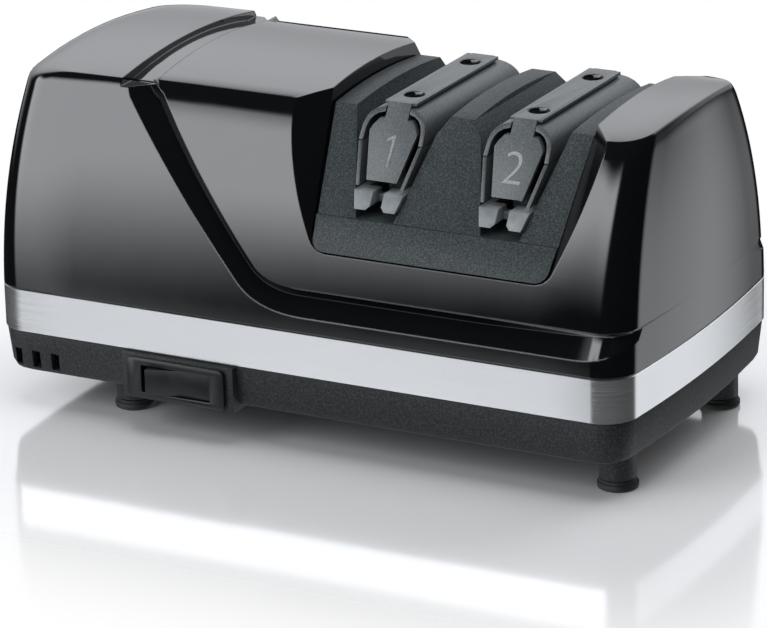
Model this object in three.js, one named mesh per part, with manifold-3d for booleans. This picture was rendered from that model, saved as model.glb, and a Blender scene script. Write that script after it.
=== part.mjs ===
// Two-stage electric knife sharpener: a gloss ABS body on a matt base tray, with two knife
// guides over two pairs of abrasive discs on a motor shaft. Millimetres, +Z up. The origin is
// at the bottom centre of the whole object, +X runs along the body, and the front is -Y.
import * as THREE from 'three';
import { mergeVertices } from 'three/addons/utils/BufferGeometryUtils.js';
import Module from 'manifold-3d';

const wasm = await Module();
wasm.setup();

// Body sizes
const bodyLength = 216;
const bodyDepth = 110;
const bodyHeight = 109;
const crown = 3.3;
const cornerRadius = 10.5;
const endBow = 3.1;
const wall = 2.4;
const gap = 0.3;
const overrun = 6;

// Levels of the base tray and of the trim band
const footHeight = 12;
const bandBottom = 25.3;
const bandTop = 39;
const bandThickness = 1.2;
const baseReveal = 0.4;
const baseTaper = 1.2;
const baseEdgeRound = 2.4;
const floorThickness = 2.4;
const trayWall = 2.6;

// How far each side of the body leans in at its top, and how its edges are rounded
const frontLean = 14.3;
const leftLean = 5.6;
const rightLean = 2.8;
const rightBlockExtraLean = 5.4;
const frontEdgeRound = 2.8;
const leftEdgeRound = 12;
const rightEdgeRound = 1.2;
const edgeRise = 4.6;
const rightBlockDrop = 0.8;
const rightFall = 1.1;
const leftFall = 1.2;
const leftFallLength = 45;
const evenLeanShare = 0.12;
const leanPower = 2.2;
const extraLeanPower = 1.4;

// The styling groove that parts the left block from the rest
const grooveDepth = 1.8;
const grooveTopInset = 43.2;
const grooveWidth = 9;
const grooveSlopeShare = 0.835;
const grooveRise = 5;
const grooveHeight = 8.2;
const grooveLowerBend = 8;
const grooveUpperBend = 5;
const grooveEndInset = 1;
const grooveFade = 18;

// The guide deck and the cut-out that it fills
const deckInset = 65.7;
const cutoutDepth = 44.9;
const cutoutHalfTop = 43;
const cutoutHalfBottom = 38.4;
const cutoutCornerRadius = 8;
const flarePerDepthShare = 0.9;
const flarePerHeightShare = 0.66;
const flareStart = 20;
const sillInset = 2.7;
const faceLeanShare = 0.64;
const deckWall = 2.2;
const sillStep = 0.9;
const sillRise = 9.7;
const towerDrop = 6.6;
const towerCrown = 1.6;
const towerTopHalf = 3.9;
const towerShoulderDrop = 4.9;

// The two knife guides
const guidePitch = 40.7;
const slotHalfAtFloor = 6.1;
const slotLeanDegrees = 16.5;
const archWidth = 20.9;
const archRise = 9.2;
const archSquareness = 3.2;
const archDrop = 5.3;
const archThickness = 1.3;
const archProud = 1.3;
const legRise = 9;
const legBottomHalf = 7.9;
const stripWidth = 10.4;
const stripEndInset = 1.264;
const stripThickness = 0.9;
const plateThickness = 2;
const plateRise = 10.6;
const plateBottomHalf = 5;
const plateShoulderDrop = 6.7;
const plateShoulderHalf = 7.8;
const plateCornerCut = 1.4;
const plateDrop = 3.3;
const plateTopHalf = 5.4;
const plateNeckHalf = 3.7;
const guideScrewInset = 8.5;
const guideScrewHeadRadius = 2.8;
const guideScrewHeadHeight = 2.2;
const guideScrewShankRadius = 1.4;
const counterboreRadius = 3.4;
const counterboreDepth = 6;
const guideBossRadius = 4.6;
const spineHalf = 3;
const spineDrop = 12.7;
const spineHeight = 7.6;
const spineEndInset = 5.084;
const spineLegLength = 5;
const stopRise = 7.8;
const stopHeight = 4.9;
const stopInnerHalf = 1.8;
const stopCornerCut = 1.2;
const stopDepth = 6;
const stopRailHeight = 3.3;
const stopBridge = 2.2;

// Drive line
const shaftDrop = 15.8;
const shaftRadius = 3;
const shaftLeftInset = 8;
const shaftRightInset = 14;
const discRadius = 24;
const discOuterFace = 5.7;
const discThickness = 2.4;
const discDish = 0.8;
const discHubRadius = 7;
const discHubLength = 5.4;
const pinRadius = 1;
const pinLength = 13;
const springRadius = 5.2;
const springWire = 0.7;
const springCurls = 3;

// Motor
const statorInset = 38;
const statorThickness = 28;
const statorHalfHeight = 22;
const statorRear = 25;
const statorFront = 37;
const statorBore = 14.4;
const airGap = 0.6;
const rotorEndGap = 1;
const limbWidth = 14;
const windowWidth = 6.5;
const windowHalfHeight = 13;
const coilOverhang = 6;
const bracketOffset = 9;
const bracketThickness = 2.5;
const bracketHalfWidth = 9;
const bracketLegInner = 15.2;
const bracketLegHalfWidth = 5;
const bushRadius = 5.5;
const bushLength = 7;
const boltRadius = 1.5;
const boltHeadRadius = 2.6;
const boltHeadHeight = 1.8;
const boltEnd = 1;
const fanRadius = 23;
const fanInset = 10;
const fanLength = 9;
const fanBlades = 9;
const fanHubRadius = 7;
const fanBladeThickness = 1.6;
const fanPlateThickness = 1.5;
const endBracketInset = 22;
const endBracketThickness = 6;
const endBracketHalfWidth = 12;
const endBracketRise = 10;
const endBracketFootReach = 5.5;
const endBracketFootHeight = 4;
const bracketScrewY = 7.5;
const bracketScrewRadius = 1.3;
const bracketScrewHeadRadius = 2.3;
const bracketScrewHeadHeight = 1.6;
const cradleThickness = 5;
const cradleLip = 3;

// Feet
const postRadius = 5.6;
const footRadius = 6.2;
const footThickness = 3;
const footStepHeight = 2;
const footChamfer = 0.5;
const footStemRadius = 2;
const footStemHeight = 5;
const footRightInset = 12.2;
const footLeftInset = 40.6;
const footFrontInset = 18.2;

// Rocker switch
const switchInset = 68;
const switchRise = 6.1;
const switchBossHalfWidth = 19;
const switchBossHalfHeight = 7;
const switchBossProud = 1.9;
const switchBossDepth = 14.9;
const bezelHalfWidth = 16.7;
const bezelHalfHeight = 6.3;
const bezelThickness = 1.3;
const bezelCorner = 2;
const rockerHalfLength = 10.4;
const rockerHalfHeight = 4;
const rockerEndReach = 8.4;
const rockerMiddleReach = 6.6;
const rockerSkirt = 5.4;
const rockerNeckHalf = 3.4;
const rockerNeckReach = 2;
const rockerTiltDegrees = 9;
const rockerPivotDepth = 5.8;
const rockerPinRadius = 1.1;
const rockerPinHalfLength = 4.8;
const rockerEndClearance = 1.3;
const switchBodyHalfWidth = 14;
const switchBodyHalfHeight = 5.3;
const switchBodyDepth = 11.9;
const switchCavityHalfWidth = 12.4;
const switchCavityDepth = 9;
const terminalSpacing = 14;
const terminalWidth = 4.8;
const terminalThickness = 0.8;
const terminalLength = 7;
const terminalRise = 2.8;

// Cord inlet
const glandInset = 68;
const glandRise = 6.7;
const glandFlangeRadius = 5.9;
const glandNoseRadius = 5;
const glandBodyRadius = 4.6;
const glandBore = 3.2;
const glandDepth = 8;
const glandFlangeThickness = 2.4;

// Base fittings
const ventWidth = 2.9;
const ventPitch = 6.7;
const ventRise = 1.8;
const ventHeight = 5.6;
const ventInset = 9.6;
const ventCount = 3;
const columnLeftInset = 32;
const columnRightInset = 22;
const columnFrontInset = 8.8;
const columnRadius = 4.2;
const housingBossRise = 5;
const baseScrewHeadRadius = 2.9;
const baseScrewHeadHeight = 2;
const baseScrewShankRadius = 1.5;
const baseScrewLength = 22;
const hatchLength = 73;
const hatchOffset = 0.2;
const hatchHalfDepth = 21;
const hatchLip = 5;
const hatchThickness = 1.2;
const hatchHookHalfWidth = 6;
const hatchHookThickness = 1.4;
const hatchBarb = 1;
const hatchBarbHeight = 1.6;
const magnetLength = 24;
const magnetWidth = 12;
const magnetThickness = 3;

// Places along the body, from its left end or its right end
const halfLength = bodyLength / 2;
const fromLeft = (inset) => inset - halfLength;
const fromRight = (inset) => halfLength - inset;
const grooveTopLeft = fromLeft(grooveTopInset);
const grooveEnd = fromRight(grooveEndInset);
const deckCentre = fromRight(deckInset);
const guideCentres = [deckCentre - guidePitch / 2, deckCentre + guidePitch / 2];
const shaftLeft = fromLeft(shaftLeftInset);
const shaftRight = fromRight(shaftRightInset);
const fanLeft = fromLeft(fanInset);
const statorLeft = fromLeft(statorInset);
const endBracketLeft = fromRight(endBracketInset);
const switchX = fromLeft(switchInset);
const glandX = fromLeft(glandInset);
const ventFirstX = fromLeft(ventInset);
const columnLeftX = fromLeft(columnLeftInset);
const columnRightX = fromRight(columnRightInset);
const footLeftX = fromLeft(footLeftInset);
const footRightX = fromRight(footRightInset);
const hatchLeft = deckCentre + hatchOffset - hatchLength / 2;
const hatchRight = hatchLeft + hatchLength;

// Distances from the middle of the body to its front and back pieces
const halfDepth = bodyDepth / 2;
const outside = halfDepth + 2 * overrun;
const sillReach = halfDepth - sillInset;
const footY = halfDepth - footFrontInset;
const columnY = halfDepth - columnFrontInset;
const switchBossFront = halfDepth + switchBossProud;
const switchBossBack = switchBossFront - switchBossDepth;
const switchBodyBack = switchBossFront - switchBodyDepth;
const rockerPivot = switchBossFront - rockerPivotDepth;
const glandInner = halfDepth - glandDepth;
const glandFlangeStart = halfDepth - baseReveal;
const skirtInset = bandThickness + gap;
const hollowInset = grooveDepth + wall;
const tongueInset = hollowInset + gap;

// Levels, from the feet, the band, the top of the body and the deck
const floorTop = footHeight + floorThickness;
const switchLevel = footHeight + switchRise;
const glandLevel = footHeight + glandRise;
const ventBottom = footHeight + ventRise;
const ventTop = ventBottom + ventHeight;
const columnTop = bandBottom + wall;
const housingBossTop = bandTop + housingBossRise;
const grooveLevel = bandTop + grooveRise;
const shoulderLevel = bodyHeight - crown - edgeRise;
const cutoutBottom = bodyHeight - cutoutDepth;
const sillTop = cutoutBottom + sillRise;
const towerTop = bodyHeight - towerDrop;
const towerShoulder = towerTop - towerShoulderDrop;
const archTop = bodyHeight - archDrop;
const plateBottom = sillTop + plateRise;
const plateShoulder = archTop - plateShoulderDrop;
const plateTop = archTop - plateDrop;
const legBottom = sillTop + legRise;
const spineTop = archTop - spineDrop;
const spineBottom = spineTop - spineHeight;
const stopTop = sillTop + stopRise;
const shaftLevel = sillTop - shaftDrop;
const endBracketTop = shaftLevel + endBracketRise;

// The slanting faces of the deck: how far out they stand at a level
const faceReach = (level) => sillReach - faceLeanShare * (level - cutoutBottom);
const slotLean = Math.tan(THREE.MathUtils.degToRad(slotLeanDegrees));
const stripBottom = archTop + gap;
const stripTop = stripBottom + stripThickness;
const stripHalfLength = faceReach(stripBottom) + archProud - stripEndInset;
const guideScrewY = stripHalfLength - guideScrewInset;
const spineHalfLength = faceReach(spineTop) - spineEndInset;
const rockerTilt = THREE.MathUtils.degToRad(rockerTiltDegrees);
const frontReach = rockerPivot + rockerEndReach * Math.cos(rockerTilt)
  + rockerHalfLength * Math.sin(rockerTilt);
const sideSigns = [-1, 1];
const endNames = [['front', -1], ['rear', 1]];

// A closed mesh as a solid: shared points are merged and triangles without area dropped
function toManifold(geometry) {
  const bare = geometry.clone();
  bare.deleteAttribute('normal');
  bare.deleteAttribute('uv');
  const merged = mergeVertices(bare, 1e-5);
  const index = [];
  for (let i = 0; i < merged.index.count; i += 3) {
    const [a, b, c] = [0, 1, 2].map((k) => merged.index.getX(i + k));
    if (a !== b && b !== c && c !== a) index.push(a, b, c);
  }
  return new wasm.Manifold(new wasm.Mesh({
    numProp: 3,
    vertProperties: new Float32Array(merged.attributes.position.array),
    triVerts: new Uint32Array(index),
  }));
}

function toGeometry(manifold) {
  const mesh = manifold.getMesh();
  const geometry = new THREE.BufferGeometry();
  geometry.setAttribute('position', new THREE.BufferAttribute(new Float32Array(mesh.vertProperties), 3));
  geometry.setIndex(new THREE.BufferAttribute(new Uint32Array(mesh.triVerts), 1));
  geometry.computeVertexNormals();
  return geometry;
}

const combine = (list) => list.slice(1).reduce((sum, solid) => sum.add(solid), list[0]);
const inOrder = (a, b) => [Math.min(a, b), Math.max(a, b)];

// A box between pairs of stations, which may come in either order
function block(xa, xb, ya, yb, za, zb) {
  const [x0, x1] = inOrder(xa, xb);
  const [y0, y1] = inOrder(ya, yb);
  const [z0, z1] = inOrder(za, zb);
  const geometry = new THREE.BoxGeometry(x1 - x0, y1 - y0, z1 - z0);
  geometry.translate((x0 + x1) / 2, (y0 + y1) / 2, (z0 + z1) / 2);
  return toManifold(geometry);
}

// Turns a shape made about Y to lie about the named axis, at the other two coordinates
function layAlong(geometry, axis, a, b) {
  if (axis === 'x') geometry.rotateZ(-Math.PI / 2).translate(0, a, b);
  if (axis === 'y') geometry.translate(a, 0, b);
  if (axis === 'z') geometry.rotateX(Math.PI / 2).translate(a, b, 0);
  return toManifold(geometry);
}

function bar(axis, radius, stationA, stationB, a, b, sides = 20) {
  const [from, to] = inOrder(stationA, stationB);
  const geometry = new THREE.CylinderGeometry(radius, radius, to - from, sides);
  geometry.translate(0, (from + to) / 2, 0);
  return layAlong(geometry, axis, a, b);
}

// A turned piece from [radius, station] pairs, given with its outer side climbing
function turned(axis, profile, a, b, sides = 32) {
  const geometry = new THREE.LatheGeometry(profile.map(([r, s]) => new THREE.Vector2(r, s)), sides);
  return layAlong(geometry, axis, a, b);
}

function extruded(outline, depth) {
  const shape = new THREE.Shape(outline.map(([u, v]) => new THREE.Vector2(u, v)));
  return new THREE.ExtrudeGeometry(shape, { depth, bevelEnabled: false });
}

// Prisms along each axis, from outlines of [y, z], [x, z] and [x, y] points
function prismX(outline, from, to) {
  return toManifold(extruded(outline, to - from)
    .rotateX(Math.PI / 2).rotateZ(Math.PI / 2).translate(from, 0, 0));
}

function prismY(outline, from, to) {
  return toManifold(extruded(outline, to - from).rotateX(Math.PI / 2).translate(0, to, 0));
}

function prismZ(outline, from, to) {
  return toManifold(extruded(outline, to - from).translate(0, 0, from));
}

// A closed solid through rings of equal count, counter-clockwise about the way they are stacked
function loft(rings) {
  const count = rings[0].length;
  const points = rings.flat();
  const index = [];
  for (let r = 0; r + 1 < rings.length; r += 1) {
    for (let i = 0; i < count; i += 1) {
      const a = r * count + i;
      const b = r * count + ((i + 1) % count);
      index.push(a, b, b + count, a, b + count, a + count);
    }
  }
  const middle = (ring) => ring.reduce((sum, p) => sum.add(p), new THREE.Vector3())
    .divideScalar(count);
  const first = points.length;
  const lastStart = first - count;
  points.push(middle(rings[0]), middle(rings[rings.length - 1]));
  for (let i = 0; i < count; i += 1) {
    const next = (i + 1) % count;
    index.push(first, next, i, first + 1, lastStart + i, lastStart + next);
  }
  const geometry = new THREE.BufferGeometry().setFromPoints(points);
  geometry.setIndex(index);
  return toManifold(geometry);
}

// The plan outline of the body: straight front and back, bowed ends and round corners
const outlineSteps = 5;
const bowSteps = 4;

function planOutline(lean, radius) {
  const front = halfDepth - lean.front;
  const right = halfLength - lean.right;
  const left = halfLength - lean.left;
  const straight = front - radius;
  const bowAtCorner = endBow * (straight / front) ** 2;
  const points = [];
  const corner = (cx, cy, start) => {
    for (let i = 0; i <= outlineSteps; i += 1) {
      const angle = start + ((i / outlineSteps) * Math.PI) / 2;
      points.push([cx + radius * Math.cos(angle), cy + radius * Math.sin(angle)]);
    }
  };
  const end = (reach, side) => {
    for (let i = 1; i < bowSteps; i += 1) {
      const y = side * straight * ((2 * i) / bowSteps - 1);
      points.push([side * (reach - endBow * (y / front) ** 2), y]);
    }
  };
  corner(right - bowAtCorner - radius, -straight, -Math.PI / 2);
  end(right, 1);
  corner(right - bowAtCorner - radius, straight, 0);
  corner(-left + bowAtCorner + radius, straight, Math.PI / 2);
  end(left, -1);
  corner(-left + bowAtCorner + radius, -straight, Math.PI);
  return points;
}

const evenInset = (inset) => planOutline(
  { front: inset, left: inset, right: inset },
  cornerRadius - Math.min(inset, cornerRadius / 2),
);

// How far the sides lean in at a level, from none at the band to all at the top
function leanAt(level, extraFront, inset) {
  const share = Math.max(0, (level - bandTop) / (bodyHeight - crown - bandTop));
  const curve = evenLeanShare * share + (1 - evenLeanShare) * share ** leanPower;
  return {
    front: inset + frontLean * curve + extraFront * share ** extraLeanPower,
    left: inset + leftLean * curve,
    right: inset + rightLean * curve,
  };
}

// How far the top lies below the crowned roof: the right body is lower and falls to its end
function topDrop(x, slim) {
  if (slim) return rightBlockDrop + rightFall * (Math.max(0, x) / halfLength) ** 2;
  return leftFall * (Math.max(0, leftFallLength - halfLength - x) / leftFallLength) ** 2;
}

// The body above the band, shrunk by an inset, its front and back leaning in by an extra amount
function bodyLoft(inset, extraFront, bottom) {
  const rings = [];
  const radius = cornerRadius - inset;
  const roof = (x, y, front) => crown * (1 - (y / front) ** 2) - topDrop(x, extraFront > 0);
  const addRing = (lean, level, roofShare) => {
    const front = halfDepth - lean.front;
    rings.push(planOutline(lean, radius).map(
      ([x, y]) => new THREE.Vector3(x, y, level + roofShare * roof(x, y, front)),
    ));
  };
  const sideSteps = 6;
  const edgeSteps = 3;
  const topSteps = 4;
  const start = Math.max(bottom, bandTop + gap);
  if (bottom < start) addRing(leanAt(bottom, extraFront, inset), bottom, 0);
  for (let i = 0; i <= sideSteps; i += 1) {
    const level = start + (shoulderLevel - start) * (i / sideSteps);
    addRing(leanAt(level, extraFront, inset), level, 0);
  }
  const shoulder = leanAt(shoulderLevel, extraFront, inset);
  const rise = edgeRise - inset;
  for (let i = 1; i <= edgeSteps; i += 1) {
    const angle = ((i / edgeSteps) * Math.PI) / 2;
    const turn = 1 - Math.cos(angle);
    addRing({
      front: shoulder.front + frontEdgeRound * turn,
      left: shoulder.left + leftEdgeRound * turn,
      right: shoulder.right + rightEdgeRound * turn,
    }, shoulderLevel + rise * Math.sin(angle), Math.sin(angle));
  }
  const edge = rings[rings.length - 1];
  const edgeFront = halfDepth - shoulder.front - frontEdgeRound;
  for (let i = 1; i < topSteps; i += 1) {
    const share = 1 - i / topSteps;
    rings.push(edge.map((p) => new THREE.Vector3(
      p.x * share, p.y * share,
      shoulderLevel + rise + roof(p.x * share, p.y * share, edgeFront),
    )));
  }
  return loft(rings);
}

// The cut-out for the deck, seen from the front: slanting sides and a round-cornered sill
const cutoutTop = bodyHeight + overrun;
const cutoutSlopeShare = (cutoutHalfTop - cutoutHalfBottom) / (bodyHeight - cutoutBottom);

function cutoutOutline(halfSill, sideSlope, sill) {
  const lean = Math.atan(sideSlope);
  const radius = cutoutCornerRadius;
  const cx = halfSill + sideSlope * radius - radius / Math.cos(lean);
  const points = [];
  for (let i = 0; i <= outlineSteps; i += 1) {
    const angle = -Math.PI / 2 + (i / outlineSteps) * (Math.PI / 2 - lean);
    points.push([cx + radius * Math.cos(angle), sill + radius + radius * Math.sin(angle)]);
  }
  points.push([halfSill + sideSlope * (cutoutTop - sill), cutoutTop]);
  const mirrored = points.map(([x, z]) => [-x, z]).reverse();
  return points.concat(mirrored).map(([x, z]) => [deckCentre + x, z]);
}

// The straight part of the cut-out, and the flares that widen it towards the front and back
function cutout(grow, sill) {
  const rise = sill - cutoutBottom;
  const straight = cutoutOutline(
    cutoutHalfBottom + cutoutSlopeShare * rise + grow, cutoutSlopeShare, sill,
  );
  const flareRing = (y) => cutoutOutline(
    cutoutHalfBottom - flarePerDepthShare * (sillReach - Math.abs(y))
      + flarePerHeightShare * rise + grow,
    flarePerHeightShare, sill,
  ).map(([x, z]) => new THREE.Vector3(x, y, z));
  return combine([
    prismY(straight, -outside, outside),
    loft([flareRing(-flareStart), flareRing(-outside)]),
    loft([flareRing(outside), flareRing(flareStart)]),
  ]);
}

// An edge of the groove, seen from the front: down the top, along the slant, round a bend
const topEdgeLevel = bodyHeight - crown;
const slantX = (x0, level) => x0 + (topEdgeLevel - level) * grooveSlopeShare;

function grooveEdge(x0, level, bend) {
  const curve = new THREE.QuadraticBezierCurve(
    new THREE.Vector2(slantX(x0, level + bend), level + bend),
    new THREE.Vector2(slantX(x0, level), level),
    new THREE.Vector2(slantX(x0, level) + 2 * bend, level),
  );
  return [[x0, cutoutTop], [x0, topEdgeLevel]]
    .concat(curve.getPoints(outlineSteps).map((p) => [p.x, p.y]));
}

const lowerEdge = grooveEdge(grooveTopLeft, grooveLevel, grooveLowerBend);
const upperEdge = grooveEdge(
  grooveTopLeft + grooveWidth, grooveLevel + grooveHeight, grooveUpperBend,
);

function rightRegion() {
  const far = halfLength + overrun;
  const outline = lowerEdge.concat([[far, grooveLevel], [far, cutoutTop]]);
  return prismY(outline, -outside, outside);
}

function grooveRegion() {
  const fade = [
    [grooveEnd - grooveFade, grooveLevel],
    [grooveEnd - grooveFade / 2, grooveLevel + grooveHeight / 5],
    [grooveEnd, grooveLevel + grooveHeight / 2],
    [grooveEnd, grooveLevel + grooveHeight],
  ];
  return prismY(lowerEdge.concat(fade, upperEdge.slice().reverse()), -outside, outside);
}

const columnPlaces = [columnLeftX, columnRightX].flatMap(
  (x) => sideSigns.map((side) => [x, side * columnY]),
);
const columns = (radius, from, to, sides) => combine(
  columnPlaces.map(([x, y]) => bar('z', radius, from, to, x, y, sides)),
);

// The gloss upper shell: a left block and a slimmer right body, parted by the groove
function upperHousing() {
  const start = bandTop + gap;
  const slim = bodyLoft(0, rightBlockExtraLean, start);
  const grooveFloor = bodyLoft(grooveDepth, rightBlockExtraLean, bandTop - overrun);
  const skin = bodyLoft(0, 0, start)
    .subtract(rightRegion().subtract(slim))
    .subtract(grooveRegion().subtract(grooveFloor));
  const skirt = prismZ(evenInset(skirtInset), bandBottom + gap, start + gap);
  const leftHollow = bodyLoft(wall, 0, start + wall)
    .subtract(rightRegion().translate([-2 * wall, 0, -wall]));
  const hollow = bodyLoft(hollowInset, rightBlockExtraLean, bandBottom - overrun).add(leftHollow);
  const lining = cutout(wall, cutoutBottom - wall).subtract(block(
    -bodyLength, bodyLength, -outside, outside, bandBottom - 2 * overrun, cutoutBottom,
  ));
  const ribs = columnPlaces.map(([x, y]) => block(
    x - wall / 2, x + wall / 2, y, Math.sign(y) * halfDepth, columnTop + gap, housingBossTop,
  ));
  const bosses = combine([columns(columnRadius, columnTop + gap, housingBossTop, 16), ...ribs])
    .intersect(bodyLoft(wall, rightBlockExtraLean, bandBottom));
  return skin.add(skirt)
    .subtract(hollow.subtract(lining))
    .add(bosses)
    .subtract(columns(baseScrewShankRadius + gap, bandBottom, housingBossTop - wall, 12))
    .subtract(cutout(0, cutoutBottom));
}

function trimBand() {
  return prismZ(evenInset(0), bandBottom + gap, bandTop)
    .subtract(prismZ(evenInset(bandThickness), bandBottom - overrun, bandTop + overrun));
}

// The base tray, with the foot posts, screw columns, motor cradle and switch boss on it
const feet = {
  foot_front_left: [footLeftX, -footY],
  foot_front_right: [footRightX, -footY],
  foot_rear_left: [footLeftX, footY],
  foot_rear_right: [footRightX, footY],
};
const footPlaces = Object.values(feet);
const insetRing = ([level, inset]) => evenInset(inset)
  .map(([x, y]) => new THREE.Vector3(x, y, level));
const statorRight = statorLeft + statorThickness;
const statorBottom = shaftLevel - statorHalfHeight;

function cradle(x) {
  const outer = statorFront + cradleLip + gap;
  const seat = statorFront + gap;
  const rear = statorRear + cradleLip + gap;
  return block(
    x, x + cradleThickness, -rear, outer, floorTop - gap, statorBottom + cradleLip,
  ).subtract(block(
    x - overrun, x + cradleThickness + overrun, -statorRear - gap, seat,
    statorBottom - gap, statorBottom + overrun,
  ));
}

function switchPocket() {
  const halfWidth = switchBodyHalfWidth + gap;
  const halfHeight = switchBodyHalfHeight + gap;
  const deep = block(
    switchX - halfWidth, switchX + halfWidth, -outside, -switchBodyBack + gap,
    switchLevel - halfHeight, switchLevel + halfHeight,
  );
  return deep.add(block(
    switchX - halfWidth, switchX + halfWidth, -switchBodyBack, -switchBossBack + overrun,
    floorTop + gap, switchLevel + halfHeight,
  ));
}

function vents() {
  return combine(Array.from({ length: ventCount }, (_, i) => ventFirstX + i * ventPitch)
    .flatMap((x) => sideSigns.map((side) => block(
      x - ventWidth / 2, x + ventWidth / 2, side * (columnY - columnRadius), side * outside,
      ventBottom, ventTop,
    ))));
}

const bracketScrewX = endBracketLeft - endBracketFootReach / 2;
const bracketScrewPlaces = sideSigns.map((side) => [bracketScrewX, side * bracketScrewY]);

function baseTray() {
  const taper = baseReveal + baseTaper;
  const body = loft([
    [footHeight, taper + baseEdgeRound],
    [footHeight + baseEdgeRound / 3, taper + baseEdgeRound / 3],
    [footHeight + baseEdgeRound, taper],
    [bandBottom, baseReveal],
  ].map(insetRing));
  const tongue = prismZ(evenInset(tongueInset), bandBottom - wall, columnTop);
  const hollow = loft([
    [floorTop, taper + trayWall], [bandBottom - wall, taper + trayWall],
    [bandBottom - wall / 2, tongueInset + wall], [columnTop + overrun, tongueInset + wall],
  ].map(insetRing));
  const boss = block(
    switchX - switchBossHalfWidth, switchX + switchBossHalfWidth,
    -switchBossFront, -switchBossBack,
    switchLevel - switchBossHalfHeight, switchLevel + switchBossHalfHeight,
  );
  const posts = footPlaces.map(([x, y]) => bar(
    'z', postRadius, footThickness + gap, floorTop, x, y,
  ));
  const cuts = [
    vents(), switchPocket(),
    columns(baseScrewShankRadius + gap, footHeight - overrun, columnTop + overrun, 12),
    columns(baseScrewHeadRadius + gap, footHeight - overrun, floorTop + gap, 16),
    bar('y', glandBodyRadius + gap, glandInner - overrun, outside, glandX, glandLevel),
    block(
      hatchLeft, hatchRight, -hatchHalfDepth, hatchHalfDepth,
      footHeight - overrun, footHeight + hatchThickness + gap,
    ),
    block(
      hatchLeft + hatchLip, hatchRight - hatchLip, -hatchHalfDepth + hatchLip,
      hatchHalfDepth - hatchLip, footHeight - overrun, floorTop + overrun,
    ),
    ...bracketScrewPlaces.map(([x, y]) => bar(
      'z', bracketScrewRadius + gap, footHeight + floorThickness / 4, floorTop + overrun, x, y, 12,
    )),
    ...footPlaces.map(([x, y]) => bar(
      'z', footStemRadius + gap, 0, footThickness + footStemHeight + gap, x, y, 12,
    )),
  ];
  return combine([
    body.add(tongue).subtract(hollow), boss, ...posts,
    columns(columnRadius, floorTop - gap, columnTop, 16),
    cradle(statorLeft + cradleThickness / 2),
    cradle(statorRight - (cradleThickness * 3) / 2),
  ]).subtract(combine(cuts));
}

// Everything between the two slanting faces moved out by an offset, with a crowned top
function betweenFaces(offset, bottom, top, rise) {
  const steps = rise > 0 ? 8 : 1;
  const topReach = faceReach(top) + offset;
  const points = [[-faceReach(bottom) - offset, bottom], [faceReach(bottom) + offset, bottom]];
  for (let i = 0; i <= steps; i += 1) {
    const y = topReach * (1 - (2 * i) / steps);
    points.push([y, top + rise * (1 - (y / topReach) ** 2)]);
  }
  return prismX(points, deckCentre - bodyDepth, deckCentre + bodyDepth);
}

const guideBand = (offset, bottom) => betweenFaces(offset, bottom, bodyHeight, 0);

// The channel that holds one guide, widened by a wall; the tower lies on the named side
function channel(centre, towerSide, grow) {
  const floor = sillTop - grow;
  const half = (level) => slotHalfAtFloor + grow + slotLean * (level - sillTop);
  const mouth = guidePitch / 2 - towerTopHalf + grow;
  const towerWall = [
    [half(floor), floor], [half(towerShoulder), towerShoulder], [mouth, towerTop],
    [mouth, cutoutTop],
  ].map(([x, z]) => [centre + towerSide * x, z]);
  const ridgeWall = [
    [half(floor), floor], [half(towerTop), towerTop], [half(towerTop), cutoutTop],
  ].map(([x, z]) => [centre - towerSide * x, z]);
  return prismY(towerWall.concat(ridgeWall.reverse()), -outside, outside);
}

const channels = (grow) => channel(guideCentres[0], 1, grow)
  .add(channel(guideCentres[1], -1, grow));
const guideScrewPlaces = guideCentres.flatMap(
  (x) => sideSigns.map((side) => [x, side * guideScrewY]),
);

function guideDeck() {
  const bottom = cutoutBottom + gap;
  const outer = betweenFaces(-sillStep, bottom, towerTop, towerCrown)
    .add(betweenFaces(0, bottom, sillTop, 0))
    .intersect(cutout(-gap, bottom));
  const wellHalf = guidePitch / 2 + discHubLength + discOuterFace / 2;
  const hollow = betweenFaces(
    -sillStep - deckWall, cutoutBottom - overrun, towerTop - deckWall, towerCrown,
  ).intersect(cutout(-gap - deckWall, bottom + deckWall).add(block(
    deckCentre - wellHalf, deckCentre + wellHalf, -outside, outside,
    cutoutBottom - 2 * overrun, bottom + deckWall + cutoutCornerRadius,
  )));
  const windowReach = Math.sqrt(discRadius ** 2 - (sillTop - deckWall - shaftLevel) ** 2);
  const windows = guideCentres.map((x) => block(
    x - slotHalfAtFloor, x + slotHalfAtFloor, -windowReach - gap, windowReach + gap,
    cutoutBottom, sillTop + gap,
  ));
  const spines = guideCentres.flatMap((x) => [
    block(
      x - spineHalf, x + spineHalf, -spineHalfLength, spineHalfLength, spineBottom, spineTop,
    ),
    ...sideSigns.map((side) => block(
      x - spineHalf, x + spineHalf, side * (spineHalfLength - spineLegLength),
      side * spineHalfLength, sillTop - gap, spineTop,
    )),
  ]);
  const pilots = guideScrewPlaces.map(([x, y]) => bar(
    'z', guideScrewShankRadius + gap, spineBottom - gap, spineTop + gap, x, y, 12,
  ));
  return outer.subtract(channels(0))
    .subtract(hollow.subtract(channels(deckWall)))
    .subtract(combine(windows))
    .add(combine(spines))
    .subtract(combine(pilots));
}

// The arched guide springs: a fixed crown and two legs that flex
const archHalf = archWidth / 2;
const archSpringing = archTop - archRise;

function archCurve(inset) {
  const steps = 12;
  return Array.from({ length: steps + 1 }, (_, i) => {
    const angle = (i / steps) * Math.PI;
    const power = (v) => Math.sign(v) * Math.abs(v) ** (2 / archSquareness);
    return [
      (archHalf - inset) * power(Math.cos(angle)),
      archSpringing + (archRise - inset) * power(Math.sin(angle)),
    ];
  });
}

const neckBack = faceReach(plateTop) + archProud - plateThickness - 2 * gap;

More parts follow.
